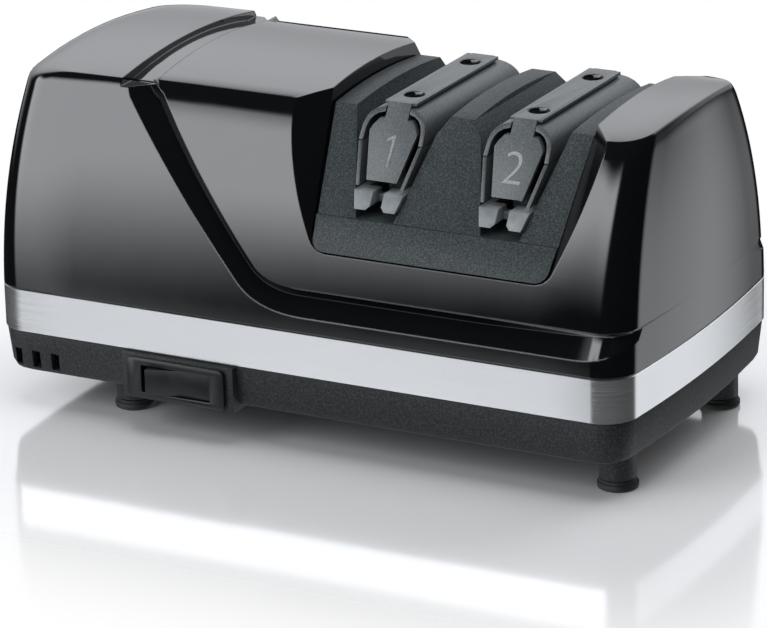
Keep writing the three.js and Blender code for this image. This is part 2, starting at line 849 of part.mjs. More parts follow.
function springCrown(centre) {
  const outline = archCurve(0).concat(archCurve(archThickness).reverse())
    .map(([x, z]) => [centre + x, z]);
  const holes = sideSigns.map((side) => bar(
    'z', guideBossRadius + gap, archSpringing, cutoutTop, centre, side * guideScrewY,
  ));
  const neckSlots = sideSigns.map((side) => block(
    centre - plateNeckHalf - gap, centre + plateNeckHalf + gap,
    side * (neckBack - overrun / 2), side * outside, plateTop, cutoutTop,
  ));
  return prismY(outline, -outside, outside)
    .intersect(guideBand(archProud, archSpringing - gap))
    .subtract(combine([...holes, ...neckSlots]));
}

function springLeg(centre, side) {
  const top = archSpringing - gap;
  const outline = [
    [legBottomHalf, legBottom], [archHalf, top],
    [archHalf - archThickness, top], [legBottomHalf - archThickness, legBottom],
  ].map(([x, z]) => [centre + side * x, z]);
  return prismY(outline, -outside, outside).intersect(guideBand(archProud, legBottom));
}

// The number block of a guide: a top strip with two screw bosses and a plate at each end
function guideBlock(centre) {
  const half = [
    [plateBottomHalf, plateBottom], [plateShoulderHalf, plateShoulder],
    [plateShoulderHalf - plateCornerCut / 2, plateShoulder + plateCornerCut],
    [plateTopHalf, plateTop], [plateNeckHalf, plateTop], [plateNeckHalf, stripTop],
  ];
  const outline = half.concat(half.map(([x, z]) => [-x, z]).reverse())
    .map(([x, z]) => [centre + x, z]);
  const face = archProud - gap;
  const plates = prismY(outline, -outside, outside).intersect(
    guideBand(face, plateBottom).subtract(guideBand(face - plateThickness, plateBottom - overrun)),
  );
  const strip = block(
    centre - stripWidth / 2, centre + stripWidth / 2, -stripHalfLength, stripHalfLength,
    stripBottom, stripTop,
  );
  const places = sideSigns.map((side) => side * guideScrewY);
  const bosses = places.map((y) => bar(
    'z', guideBossRadius, spineTop + gap, stripTop - gap, centre, y,
  ));
  const sinks = places.flatMap((y) => [
    bar('z', counterboreRadius, stripTop - counterboreDepth, cutoutTop, centre, y),
    bar('z', guideScrewShankRadius + gap, spineTop, stripTop, centre, y, 12),
  ]);
  return combine([strip, plates, ...bosses]).subtract(combine(sinks));
}

// A screw along Z with a slotted head; up is 1 where the head is at the top
function screw(x, y, underHead, head, shankRadius, length, up) {
  const headEnd = underHead + up * head.height;
  const slot = block(
    x - head.radius, x + head.radius, y - shankRadius / 3, y + shankRadius / 3,
    headEnd - (up * head.height) / 2, headEnd + up * gap,
  );
  return bar('z', shankRadius, underHead, underHead - up * length, x, y, 12)
    .add(bar('z', head.radius, underHead, headEnd, x, y, 16))
    .subtract(slot);
}

function guideScrew(x, y) {
  const underHead = stripTop - counterboreDepth + gap;
  const head = { radius: guideScrewHeadRadius, height: guideScrewHeadHeight };
  return screw(x, y, underHead, head, guideScrewShankRadius, underHead - spineBottom, 1);
}

// The grey stop frame of a guide: two bridged pads at each end, and a rail along each wall
function stopFrame(centre) {
  const bottom = stopTop - stopHeight;
  const railBottom = stopTop - stopRailHeight;
  const outerHalf = (level) => slotHalfAtFloor - gap + slotLean * (level - sillTop);
  const pad = [
    [stopInnerHalf, stopTop], [outerHalf(stopTop), stopTop], [outerHalf(bottom), bottom],
    [stopInnerHalf + stopCornerCut, bottom], [stopInnerHalf, bottom + stopCornerCut],
  ];
  const rail = [
    [discOuterFace + gap, railBottom], [discOuterFace + gap, stopTop],
    [outerHalf(stopTop), stopTop], [outerHalf(railBottom), railBottom],
  ];
  const padBack = faceReach(stopTop) + archProud - stopDepth;
  const solids = sideSigns.flatMap((side) => {
    const across = (outline) => outline.map(([x, z]) => [centre + side * x, z]);
    return [
      prismY(across(rail), -padBack - gap, padBack + gap),
      prismY(across(pad), padBack, outside),
      prismY(across(pad), -outside, -padBack),
      block(
        centre - stopInnerHalf - stopCornerCut, centre + stopInnerHalf + stopCornerCut,
        side * padBack, side * (padBack + stopBridge),
        bottom + stopCornerCut - gap, bottom + stopCornerCut + stopBridge,
      ),
    ];
  });
  return combine(solids).intersect(guideBand(archProud - gap, bottom));
}

// The abrasive discs: dished, on hubs whose outer ends are notched for a drive pin
const discInnerFace = discOuterFace - discDish - discThickness;
const hubEnd = discInnerFace + discHubLength;
const pinStation = hubEnd - pinRadius - gap;
const discs = guideCentres.flatMap((centre, i) => sideSigns.map((side) => ({
  name: `${i + 1}_${side < 0 ? 'left' : 'right'}`, centre, side,
})));

function abrasiveDisc({ centre, side }) {
  const bore = shaftRadius + gap;
  const profile = [
    [bore, discInnerFace], [discHubRadius, discInnerFace],
    [discRadius, discOuterFace - discThickness / 2], [discRadius, discOuterFace],
    [discHubRadius, discOuterFace - discDish], [discHubRadius, hubEnd], [bore, hubEnd],
    [bore, discInnerFace],
  ].map(([r, s]) => [r, side * s]);
  const notchBottom = centre + side * (pinStation - pinRadius - gap);
  const notch = block(
    notchBottom, centre + side * guidePitch, -discHubRadius - gap, discHubRadius + gap,
    shaftLevel - pinRadius - gap, shaftLevel + pinRadius + gap,
  );
  const disc = turned('x', side > 0 ? profile : profile.reverse(), 0, shaftLevel, 30);
  return disc.translate([centre, 0, 0]).subtract(notch);
}

const crossPin = ({ centre, side }, radius, halfPin) => bar(
  'y', radius, -halfPin, halfPin, centre + side * pinStation, shaftLevel, 12,
);

function motorShaft() {
  return bar('x', shaftRadius, shaftLeft, shaftRight, 0, shaftLevel, 20)
    .subtract(combine(discs.map((disc) => crossPin(disc, pinRadius + gap, pinLength))));
}

// An open-wound spring between two discs, as one helical tube about the shaft
function discSpring(centre) {
  const length = 2 * (discInnerFace - gap) - springWire;
  const stepsPerCurl = 8;
  const sides = 5;
  const steps = springCurls * stepsPerCurl;
  const path = Array.from({ length: steps + 1 }, (_, i) => {
    const angle = (i / stepsPerCurl) * 2 * Math.PI;
    return new THREE.Vector3(
      centre + length * (i / steps - 1 / 2),
      springRadius * Math.cos(angle), shaftLevel + springRadius * Math.sin(angle),
    );
  });
  const gaps = path.flatMap((p, i) => path.slice(i + stepsPerCurl / 2)
    .map((q) => p.distanceTo(q) - springWire));
  console.log(`disc spring: least gap to itself ${Math.min(...gaps).toFixed(2)} mm`);
  const rings = path.map((p, i) => {
    const ahead = path[Math.min(i + 1, steps)].clone().sub(path[Math.max(i - 1, 0)]).normalize();
    const out = new THREE.Vector3(0, p.y, p.z - shaftLevel).normalize();
    const across = new THREE.Vector3().crossVectors(ahead, out).normalize();
    return Array.from({ length: sides }, (_, k) => {
      const turn = (k / sides) * 2 * Math.PI;
      return p.clone()
        .addScaledVector(out, (springWire / 2) * Math.cos(turn))
        .addScaledVector(across, (springWire / 2) * Math.sin(turn));
    });
  });
  return loft(rings);
}

// The motor: a laminated stack with a bore and one winding on its front limb
const windowStart = statorFront - limbWidth - windowWidth;
const boltOffset = (bracketLegInner + statorHalfHeight) / 2 - gap;
const boltLevels = sideSigns.map((side) => shaftLevel + side * boltOffset);

function motorStator() {
  const holes = boltLevels.map((z) => bar(
    'x', boltRadius + gap, statorLeft - overrun, statorRight + overrun, 0, z, 12,
  ));
  return block(
    statorLeft, statorRight, -statorRear, statorFront, statorBottom, shaftLevel + statorHalfHeight,
  ).subtract(combine([
    bar('x', statorBore, statorLeft - overrun, statorRight + overrun, 0, shaftLevel, 32),
    block(
      statorLeft - overrun, statorRight + overrun, windowStart, windowStart + windowWidth,
      shaftLevel - windowHalfHeight, shaftLevel + windowHalfHeight,
    ),
    ...holes,
  ]));
}

function motorCoil() {
  const halfHeight = windowHalfHeight - gap;
  const limbRear = windowStart + windowWidth;
  return block(
    statorLeft - coilOverhang, statorRight + coilOverhang, windowStart + gap,
    statorFront + windowWidth - gap, shaftLevel - halfHeight, shaftLevel + halfHeight,
  ).subtract(block(
    statorLeft - gap, statorRight + gap, limbRear - gap, statorFront + gap,
    statorBottom, shaftLevel + statorHalfHeight,
  ));
}

const bracketFace = (side) => (side < 0 ? statorLeft - gap : statorRight + gap);
const bracketPlate = (side) => bracketFace(side) + side * bracketOffset;

function motorBracket(side) {
  const near = bracketPlate(side);
  const far = near + side * bracketThickness;
  const halfHeight = statorHalfHeight - gap;
  const legs = sideSigns.map((end) => block(
    bracketFace(side), near, -bracketLegHalfWidth, bracketLegHalfWidth,
    shaftLevel + end * bracketLegInner, shaftLevel + end * halfHeight,
  ));
  return combine([
    block(
      near, far, -bracketHalfWidth, bracketHalfWidth,
      shaftLevel - halfHeight, shaftLevel + halfHeight,
    ), ...legs,
  ]).subtract(combine([
    bar('x', bushRadius + gap, near - side * gap, far + side * gap, 0, shaftLevel),
    ...boltLevels.map((z) => bar(
      'x', boltRadius + gap, bracketFace(side) - side * gap, far + side * gap, 0, z, 12,
    )),
  ]));
}

// A long bolt through both brackets and the stack, its hexagonal head at the left
function motorBolt(z) {
  const underHead = bracketPlate(-1) - bracketThickness - gap;
  const tip = bracketPlate(1) + bracketThickness + boltEnd;
  return bar('x', boltRadius, underHead, tip, 0, z, 12)
    .add(bar('x', boltHeadRadius, underHead - boltHeadHeight, underHead, 0, z, 6));
}

function bush(middle) {
  const bore = shaftRadius + gap;
  const [from, to] = [middle - bushLength / 2, middle + bushLength / 2];
  return turned('x', [
    [bore, from], [bushRadius, from], [bushRadius, to], [bore, to], [bore, from],
  ], 0, shaftLevel, 24);
}

const sleeve = (radius, from, to, sides) => bar('x', radius, from, to, 0, shaftLevel, sides)
  .subtract(bar('x', shaftRadius + gap, from - gap, to + gap, 0, shaftLevel, 20));

function coolingFan() {
  const right = fanLeft + fanLength;
  const blades = Array.from({ length: fanBlades }, (_, i) => {
    const turn = (i / fanBlades) * 2 * Math.PI;
    const geometry = new THREE.BoxGeometry(
      fanLength - fanPlateThickness / 2, fanRadius - fanHubRadius + gap, fanBladeThickness,
    );
    geometry.translate(fanLeft + fanLength / 2, (fanRadius + fanHubRadius) / 2 - gap, 0);
    geometry.rotateX(turn).translate(0, 0, shaftLevel);
    return toManifold(geometry);
  });
  return combine([
    bar('x', fanHubRadius, fanLeft, right, 0, shaftLevel),
    bar('x', fanRadius, right - fanPlateThickness, right, 0, shaftLevel, 36), ...blades,
  ]).subtract(bar('x', shaftRadius + gap, fanLeft - gap, right + gap, 0, shaftLevel, 20));
}

// The bracket that carries the right end of the shaft
const endBracketMiddle = endBracketLeft + endBracketThickness / 2;

function endBracket() {
  const foot = floorTop + gap;
  return combine([
    block(
      endBracketLeft, endBracketLeft + endBracketThickness,
      -endBracketHalfWidth, endBracketHalfWidth, foot, endBracketTop,
    ),
    block(
      endBracketLeft - endBracketFootReach,
      endBracketLeft + endBracketThickness + endBracketFootReach,
      -endBracketHalfWidth, endBracketHalfWidth, foot, foot + endBracketFootHeight,
    ),
  ]).subtract(combine([
    bar(
      'x', bushRadius + gap, endBracketLeft - gap, endBracketLeft + endBracketThickness + gap,
      0, shaftLevel,
    ),
    ...bracketScrewPlaces.map(([x, y]) => bar(
      'z', bracketScrewRadius + gap, foot - gap, foot + endBracketFootHeight + gap, x, y, 12,
    )),
  ]));
}

function bracketScrew(x, y) {
  const underHead = floorTop + endBracketFootHeight + 2 * gap;
  const head = { radius: bracketScrewHeadRadius, height: bracketScrewHeadHeight };
  const length = underHead - footHeight - floorThickness / 2;
  return screw(x, y, underHead, head, bracketScrewRadius, length, 1);
}

// The rocker switch: a framed opening, a box with pivot holes, and the rocker on its pins
function roundedRect(halfWidth, halfHeight, radius) {
  const corners = [[1, -1], [1, 1], [-1, 1], [-1, -1]];
  const steps = 4;
  return corners.flatMap(([sx, sz], i) => Array.from({ length: steps + 1 }, (_, k) => {
    const angle = ((i - 1 + k / steps) * Math.PI) / 2;
    return [
      switchX + sx * (halfWidth - radius) + radius * Math.cos(angle),
      switchLevel + sz * (halfHeight - radius) + radius * Math.sin(angle),
    ];
  }));
}

const bezelBack = switchBossFront + gap;
const rockerOpeningHalfWidth = rockerHalfLength + rockerEndClearance;
const rockerOpeningHalfHeight = rockerHalfHeight + gap;

function switchBezel() {
  return prismY(
    roundedRect(bezelHalfWidth, bezelHalfHeight, bezelCorner),
    -bezelBack - bezelThickness, -bezelBack,
  ).subtract(block(
    switchX - rockerOpeningHalfWidth, switchX + rockerOpeningHalfWidth, -outside, -bezelBack + gap,
    switchLevel - rockerOpeningHalfHeight, switchLevel + rockerOpeningHalfHeight,
  ));
}

function switchBody() {
  const front = switchBossFront - gap;
  return block(
    switchX - switchBodyHalfWidth, switchX + switchBodyHalfWidth, -front, -switchBodyBack,
    switchLevel - switchBodyHalfHeight, switchLevel + switchBodyHalfHeight,
  ).subtract(block(
    switchX - switchCavityHalfWidth, switchX + switchCavityHalfWidth,
    -outside, -front + switchCavityDepth,
    switchLevel - rockerOpeningHalfHeight, switchLevel + rockerOpeningHalfHeight,
  )).subtract(bar(
    'z', rockerPinRadius + gap, switchLevel - switchBodyHalfHeight - gap,
    switchLevel + switchBodyHalfHeight + gap, switchX, -rockerPivot, 16,
  ));
}

function switchRocker() {
  const outline = [
    [-rockerHalfLength, -rockerEndReach], [0, -rockerMiddleReach],
    [rockerHalfLength, -rockerEndReach], [rockerHalfLength, -rockerSkirt],
    [rockerNeckHalf, -rockerNeckReach], [rockerNeckHalf, rockerNeckReach],
    [-rockerNeckHalf, rockerNeckReach], [-rockerNeckHalf, -rockerNeckReach],
    [-rockerHalfLength, -rockerSkirt],
  ];
  return prismZ(outline, -rockerHalfHeight, rockerHalfHeight)
    .add(bar('z', rockerPinRadius, -rockerPinHalfLength, rockerPinHalfLength, 0, 0, 16));
}

function switchTerminal(side) {
  const start = -switchBodyBack + gap;
  const level = switchLevel + terminalRise;
  const x = switchX + (side * terminalSpacing) / 2;
  return block(
    x - terminalWidth / 2, x + terminalWidth / 2, start, start + terminalLength,
    level - terminalThickness / 2, level + terminalThickness / 2,
  );
}

// The cord inlet at the back, whose nose reaches as far back as the rocker stands forward
function cordGland() {
  const flangeEnd = glandFlangeStart + glandFlangeThickness;
  return turned('y', [
    [glandBore, glandInner], [glandBodyRadius, glandInner], [glandBodyRadius, glandFlangeStart],
    [glandFlangeRadius, glandFlangeStart], [glandFlangeRadius, flangeEnd],
    [glandNoseRadius, frontReach], [glandBore, frontReach], [glandBore, glandInner],
  ], glandX, glandLevel, 28);
}

function rubberFoot([x, y]) {
  const profile = [
    [0, 0], [footRadius - footChamfer, 0], [footRadius, footChamfer],
    [footRadius, footStepHeight], [postRadius, footStepHeight], [postRadius, footThickness],
    [footStemRadius, footThickness], [footStemRadius, footThickness + footStemHeight],
    [0, footThickness + footStemHeight],
  ];
  return turned('z', profile, x, y, 20);
}

function baseScrew(x, y) {
  const head = { radius: baseScrewHeadRadius, height: baseScrewHeadHeight };
  return screw(x, y, floorTop, head, baseScrewShankRadius, baseScrewLength, -1);
}

// The clean-out hatch under the discs, held by a hook at each end, and its filings magnet
const hatchTop = footHeight + hatchThickness;

function hatch() {
  const hooks = [[hatchLeft, 1], [hatchRight, -1]].map(([end, inward]) => {
    const face = end + inward * (hatchLip + gap);
    return block(
      face, face + inward * hatchHookThickness, -hatchHookHalfWidth, hatchHookHalfWidth,
      footHeight, floorTop + gap + hatchBarbHeight,
    ).add(block(
      face - inward * hatchBarb, face + inward * hatchHookThickness,
      -hatchHookHalfWidth, hatchHookHalfWidth,
      floorTop + gap, floorTop + gap + hatchBarbHeight,
    ));
  });
  return combine([block(
    hatchLeft + gap, hatchRight - gap, -hatchHalfDepth + gap, hatchHalfDepth - gap,
    footHeight, hatchTop,
  ), ...hooks]);
}

function filingsMagnet() {
  return block(
    deckCentre - magnetLength / 2, deckCentre + magnetLength / 2,
    -magnetWidth / 2, magnetWidth / 2, hatchTop + gap, hatchTop + gap + magnetThickness,
  );
}

// Materials of the real pieces
const finish = (color, roughness, metalness = 0) => ({ color, roughness, metalness });
const glossBlack = finish(0x121315, 0.12);
const steelBand = finish(0xc9cacb, 0.3, 1);
const mattBlack = finish(0x2a2d2f, 0.62);
const texturedBlack = finish(0x26292a, 0.7);
const guideGrey = finish(0x3f4346, 0.55);
const springBlack = finish(0x33373a, 0.4);
const stopGrey = finish(0x8b8f92, 0.5);
const rubberBlack = finish(0x161718, 0.85);
const plainSteel = finish(0x9a9c9e, 0.35, 1);
const laminatedSteel = finish(0x6d7175, 0.5, 0.9);
const copper = finish(0xa85f35, 0.35, 0.9);
const bronze = finish(0xa58350, 0.45, 0.8);
const abrasive = finish(0x7d7b76, 0.8, 0.3);
const fanPlastic = finish(0xd7d3c4, 0.5);

const group = new THREE.Group();

function place(name, solid, look, position = [0, 0, 0], turn = 0) {
  const mesh = new THREE.Mesh(toGeometry(solid), new THREE.MeshStandardMaterial(look));
  mesh.name = name;
  mesh.position.set(...position);
  mesh.rotation.z = turn;
  group.add(mesh);
}

place('upper_housing', upperHousing(), glossBlack);
place('trim_band', trimBand(), steelBand);
place('base_tray', baseTray(), mattBlack);
place('guide_deck', guideDeck(), texturedBlack);

guideCentres.forEach((centre, i) => {
  const stage = i + 1;
  place(`guide_block_${stage}`, guideBlock(centre), guideGrey);
  place(`spring_crown_${stage}`, springCrown(centre), springBlack);
  place(`spring_leg_${stage}_left`, springLeg(centre, -1), springBlack);
  place(`spring_leg_${stage}_right`, springLeg(centre, 1), springBlack);
  place(`stop_frame_${stage}`, stopFrame(centre), stopGrey);
  place(`disc_spring_${stage}`, discSpring(centre), plainSteel);
  endNames.forEach(([end, sign]) => place(
    `guide_screw_${stage}_${end}`, guideScrew(centre, sign * guideScrewY), plainSteel,
  ));
});

discs.forEach((disc) => {
  place(`disc_${disc.name}`, abrasiveDisc(disc), abrasive);
  place(`drive_pin_${disc.name}`, crossPin(disc, pinRadius, pinLength / 2), plainSteel);
});
place('motor_shaft', motorShaft(), plainSteel);
place('rotor_core', sleeve(
  statorBore - airGap, statorLeft + rotorEndGap, statorRight - rotorEndGap, 32,
), laminatedSteel);
place('cooling_fan', coolingFan(), fanPlastic);
place('motor_stator', motorStator(), laminatedSteel);
place('motor_coil', motorCoil(), copper);
place('motor_bracket_left', motorBracket(-1), plainSteel);
place('motor_bracket_right', motorBracket(1), plainSteel);
place('motor_bolt_lower', motorBolt(boltLevels[0]), plainSteel);
place('motor_bolt_upper', motorBolt(boltLevels[1]), plainSteel);
place('bush_left', bush(bracketPlate(-1) - bracketThickness / 2), bronze);
place('bush_right', bush(bracketPlate(1) + bracketThickness / 2), bronze);
place('bush_end', bush(endBracketMiddle), bronze);
place('end_bracket', endBracket(), mattBlack);

place('switch_bezel', switchBezel(), mattBlack);
place('switch_body', switchBody(), mattBlack);
place('switch_rocker', switchRocker(), springBlack, [switchX, -rockerPivot, switchLevel], rockerTilt);
place('switch_terminal_left', switchTerminal(-1), plainSteel);
place('switch_terminal_right', switchTerminal(1), plainSteel);
place('cord_gland', cordGland(), rubberBlack);

Object.entries(feet).forEach(([name, at]) => place(name, rubberFoot(at), rubberBlack));
endNames.forEach(([end, sign]) => {
  place(
    `bracket_screw_${end}`, bracketScrew(bracketScrewX, sign * bracketScrewY), plainSteel,
  );
  place(`base_screw_${end}_left`, baseScrew(columnLeftX, sign * columnY), plainSteel);
  place(`base_screw_${end}_right`, baseScrew(columnRightX, sign * columnY), plainSteel);
});
place('cleanout_hatch', hatch(), mattBlack);
place('filings_magnet', filingsMagnet(), plainSteel);

export default group;
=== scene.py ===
import math

import bmesh
import bpy
from mathutils import Matrix, Vector


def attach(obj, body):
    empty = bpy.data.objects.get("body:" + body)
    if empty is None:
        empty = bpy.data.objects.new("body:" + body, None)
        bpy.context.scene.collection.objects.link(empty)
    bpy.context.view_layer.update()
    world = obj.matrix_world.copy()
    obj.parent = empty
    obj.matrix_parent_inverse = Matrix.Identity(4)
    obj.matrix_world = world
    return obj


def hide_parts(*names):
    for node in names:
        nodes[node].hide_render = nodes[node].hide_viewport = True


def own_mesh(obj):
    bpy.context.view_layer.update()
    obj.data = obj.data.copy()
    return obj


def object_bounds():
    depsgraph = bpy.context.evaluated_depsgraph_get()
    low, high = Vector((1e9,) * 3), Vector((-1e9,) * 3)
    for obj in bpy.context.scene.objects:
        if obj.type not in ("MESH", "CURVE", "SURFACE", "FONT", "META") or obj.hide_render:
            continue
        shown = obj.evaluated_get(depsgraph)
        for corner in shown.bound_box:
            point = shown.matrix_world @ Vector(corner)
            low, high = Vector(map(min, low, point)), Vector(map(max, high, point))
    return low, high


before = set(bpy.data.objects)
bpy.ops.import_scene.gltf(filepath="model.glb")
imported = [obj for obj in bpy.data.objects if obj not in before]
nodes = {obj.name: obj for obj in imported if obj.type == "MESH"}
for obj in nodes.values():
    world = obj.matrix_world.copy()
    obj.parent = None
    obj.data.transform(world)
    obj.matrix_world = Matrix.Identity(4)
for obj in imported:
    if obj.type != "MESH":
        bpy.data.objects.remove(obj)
cad_low, cad_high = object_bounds()
MM = 0.001

# The camera stands where the photograph was taken, 1.37 m off, to the right of the front and
# a little above, with a long lens and a small roll.
azimuth, elevation, roll = (math.radians(a) for a in (28.18, 19.58, -1.40))
aim = Vector((-4.15, 7.80, 24.00)) * MM
back = Vector((
    math.sin(azimuth) * math.cos(elevation),
    -math.cos(azimuth) * math.cos(elevation),
    math.sin(elevation),
))
level_right = Vector((math.cos(azimuth), math.sin(azimuth), 0))
level_up = back.cross(level_right)
right = math.cos(roll) * level_right + math.sin(roll) * level_up
up = math.cos(roll) * level_up - math.sin(roll) * level_right
camera = bpy.data.objects.new("camera", bpy.data.cameras.new("camera"))
bpy.context.scene.collection.objects.link(camera)
camera.data.lens = 209.44
camera.data.sensor_width = 36
camera_distance = 1.3723
camera.matrix_world = Matrix.Translation(aim + back * camera_distance) @ Matrix(
    (right, up, back)
).transposed().to_4x4()
camera.data.clip_start, camera.data.clip_end = 0.05, 20
bpy.context.scene.camera = camera
bpy.context.scene.view_settings.view_transform = "Standard"


def linear(colour):
    """An sRGB colour such as 0x2a2d2f as the linear RGBA that a shader socket takes."""
    parts = [((colour >> shift) & 255) / 255 for shift in (16, 8, 0)]
    return [c / 12.92 if c <= 0.04045 else ((c + 0.055) / 1.055) ** 2.4 for c in parts] + [1]


def add(tree, kind, values=None, links=None, **settings):
    """Adds a node, sets its properties and input values, and links outputs into its inputs."""
    node = tree.nodes.new("ShaderNode" + kind)
    for name, value in settings.items():
        setattr(node, name, value)
    for name, value in (values or {}).items():
        node.inputs[name].default_value = value
    for name, output in (links or {}).items():
        tree.links.new(output, node.inputs[name])
    return node


# The studio round the object: a white background, and soft white panels that only glossy rays
# meet, which the shell and the band mirror, with darkness between and overhead.
world = bpy.data.worlds.new("studio")
bpy.context.scene.world = world
world.use_nodes = True
sky = world.node_tree
sky.nodes.clear()
direction = add(sky, "TexCoord").outputs["Generated"]
taper_limit = 6


def panel(
    turn, half_width, low, high, soft_side, soft_low, soft_high, strength,
    taper=0.0, flare=0.0,
):
    """A soft panel of light turned about Z from the front, between two elevations, in degrees.

    Its sides, foot and top fade over their soft widths. A taper lifts its foot to the right, and
    a flare widens it upwards.
    """
    facing = add(sky, "VectorRotate", {
        "Axis": (0, 0, 1), "Angle": math.radians(-turn),
    }, {"Vector": direction}, rotation_type="AXIS_ANGLE")
    axes = add(sky, "SeparateXYZ", links={"Vector": facing.outputs[0]})
    forward = add(sky, "Math", {1: -1.0}, {0: axes.outputs["Y"]}, operation="MULTIPLY")
    rise = add(sky, "Math", links={0: axes.outputs["Z"]}, operation="ARCSINE")
    turned = add(sky, "Math", links={
        0: axes.outputs["X"], 1: forward.outputs[0],
    }, operation="ARCTAN2")
    swing = add(sky, "Math", links={0: turned.outputs[0]}, operation="ABSOLUTE")
    across = add(sky, "Clamp", {
        "Min": math.radians(-taper_limit), "Max": math.radians(taper_limit),
    }, {"Value": turned.outputs[0]})
    side_edge = add(sky, "Math", {1: -flare}, {
        0: rise.outputs[0], 2: swing.outputs[0],
    }, operation="MULTIPLY_ADD")
    floor_edge = add(sky, "Math", {1: -taper}, {
        0: across.outputs[0], 2: rise.outputs[0],
    }, operation="MULTIPLY_ADD")
    light = None
    for dark, bright, angle in (
        (half_width + soft_side, half_width, side_edge), (low - soft_low, low, floor_edge),
        (high + soft_high, high, rise),
    ):
        edge = add(sky, "MapRange", {
            "From Min": math.radians(dark), "From Max": math.radians(bright),
        }, {"Value": angle.outputs[0]}, interpolation_type="SMOOTHSTEP")
        light = edge.outputs[0] if light is None else add(
            sky, "Math", links={0: light, 1: edge.outputs[0]}, operation="MULTIPLY",
        ).outputs[0]
    return add(sky, "Math", {1: strength}, {0: light}, operation="MULTIPLY").outputs[0]


front_panel = panel(-28, 27, 16, 28, 12, 32, 9, 5.9, 1.5, 0.75)
front_band_panel = panel(-28.5, 3, -48, -22, 7, 10, 8, 1.9)
rear_panel = panel(200, 46, -4, 40, 24, 4, 12, 0.8)
roof_panel = panel(200, 46, 38, 44, 24, 36, 8, 1.85)
right_end_panel = panel(149, 5, -50, -17, 17, 10, 13, 1.42)
floor_glow = panel(0, 175, -75, -36, 5, 10, 9, 0.8)
darkness, fill_light, background_light = 0.015, 0.42, 1.0
mirrored = front_panel
for other in (front_band_panel, rear_panel, roof_panel, right_end_panel, floor_glow):
    mirrored = add(sky, "Math", links={0: mirrored, 1: other}, operation="ADD").outputs[0]
mirrored = add(sky, "Math", {1: darkness}, {0: mirrored}, operation="ADD").outputs[0]
rays = add(sky, "LightPath")
unseen = add(sky, "MapRange", {"To Min": fill_light, "To Max": 0.0}, {
    "Value": rays.outputs["Is Glossy Ray"],
})
seen_in_gloss = add(sky, "Math", links={
    0: mirrored, 1: rays.outputs["Is Glossy Ray"],
}, operation="MULTIPLY")
lit = add(sky, "Math", links={0: unseen.outputs[0], 1: seen_in_gloss.outputs[0]}, operation="ADD")
strength = add(sky, "Mix", {3: background_light}, {
    0: rays.outputs["Is Camera Ray"], 2: lit.outputs[0],
}, data_type="FLOAT")
white, cool_white = linear(0xFFFFFF), linear(0xF8FBFF)
tint = add(sky, "Mix", {6: white, 7: cool_white}, {
    0: rays.outputs["Is Glossy Ray"],
}, data_type="RGBA")
backdrop = add(sky, "Background", links={
    "Color": tint.outputs[2], "Strength": strength.outputs[0],
})
add(sky, "OutputWorld", links={"Surface": backdrop.outputs[0]})


def lamp(name, position, size, power):
    """A square soft lamp that lights the object from a side and doesn't show in its gloss."""
    light = bpy.data.lights.new(name, "AREA")
    light.shape = "SQUARE"
    light.size = size
    light.energy = power
    light.color = (0.97, 0.99, 1.0)
    holder = bpy.data.objects.new(name, light)
    bpy.context.scene.collection.objects.link(holder)
    at = Vector(position)
    holder.matrix_world = Matrix.Translation(at) @ at.to_track_quat("Z", "Y").to_matrix().to_4x4()
    holder.visible_glossy = False
    holder.visible_camera = False


lamp("front_lamp", (-0.55, -1.05, 0.75), 0.8, 11)
lamp("rear_lamp", (0.45, 1.05, 0.80), 0.8, 8)
lamp("top_lamp", (0.10, -0.10, 1.40), 0.9, 11)

# The floor: a pale sheet with a soft gloss, which keeps the shadow and the reflection near the
# object, and fades into the white background beyond its footprint.
floor_mesh = bmesh.new()
floor_radius, footprint, fade_start, fade_end = 1.2, (0.108, 0.055, 0), 0.03, 0.14
bmesh.ops.create_circle(floor_mesh, cap_ends=True, segments=96, radius=floor_radius)
floor_data = bpy.data.meshes.new("floor")
floor_mesh.to_mesh(floor_data)
floor_mesh.free()
floor = bpy.data.objects.new("floor", floor_data)
bpy.context.scene.collection.objects.link(floor)
floor.visible_glossy = False
sheet = bpy.data.materials.new("pale_floor")
sheet.use_nodes = True
tree = sheet.node_tree
tree.nodes.clear()
beyond = add(tree, "TexCoord").outputs["Object"]
for operation, amount in (
    ("ABSOLUTE", (0, 0, 0)), ("SUBTRACT", footprint), ("MAXIMUM", (0, 0, 0)),
):
    beyond = add(tree, "VectorMath", {1: amount}, {0: beyond}, operation=operation).outputs[0]
away = add(tree, "VectorMath", links={0: beyond}, operation="LENGTH")
fading = add(tree, "MapRange", {"From Min": fade_start, "From Max": fade_end}, {
    "Value": away.outputs["Value"],
}, interpolation_type="SMOOTHSTEP")
surface = add(tree, "BsdfPrincipled", {
    "Base Color": linear(0xC9C9CB), "Roughness": 0.1, "IOR": 1.9,
})
clear = add(tree, "BsdfTransparent")
mixed = add(tree, "MixShader", links={
    0: fading.outputs[0], 1: surface.outputs[0], 2: clear.outputs[0],
})
add(tree, "OutputMaterial", links={"Surface": mixed.outputs[0]})
floor_data.materials.append(sheet)


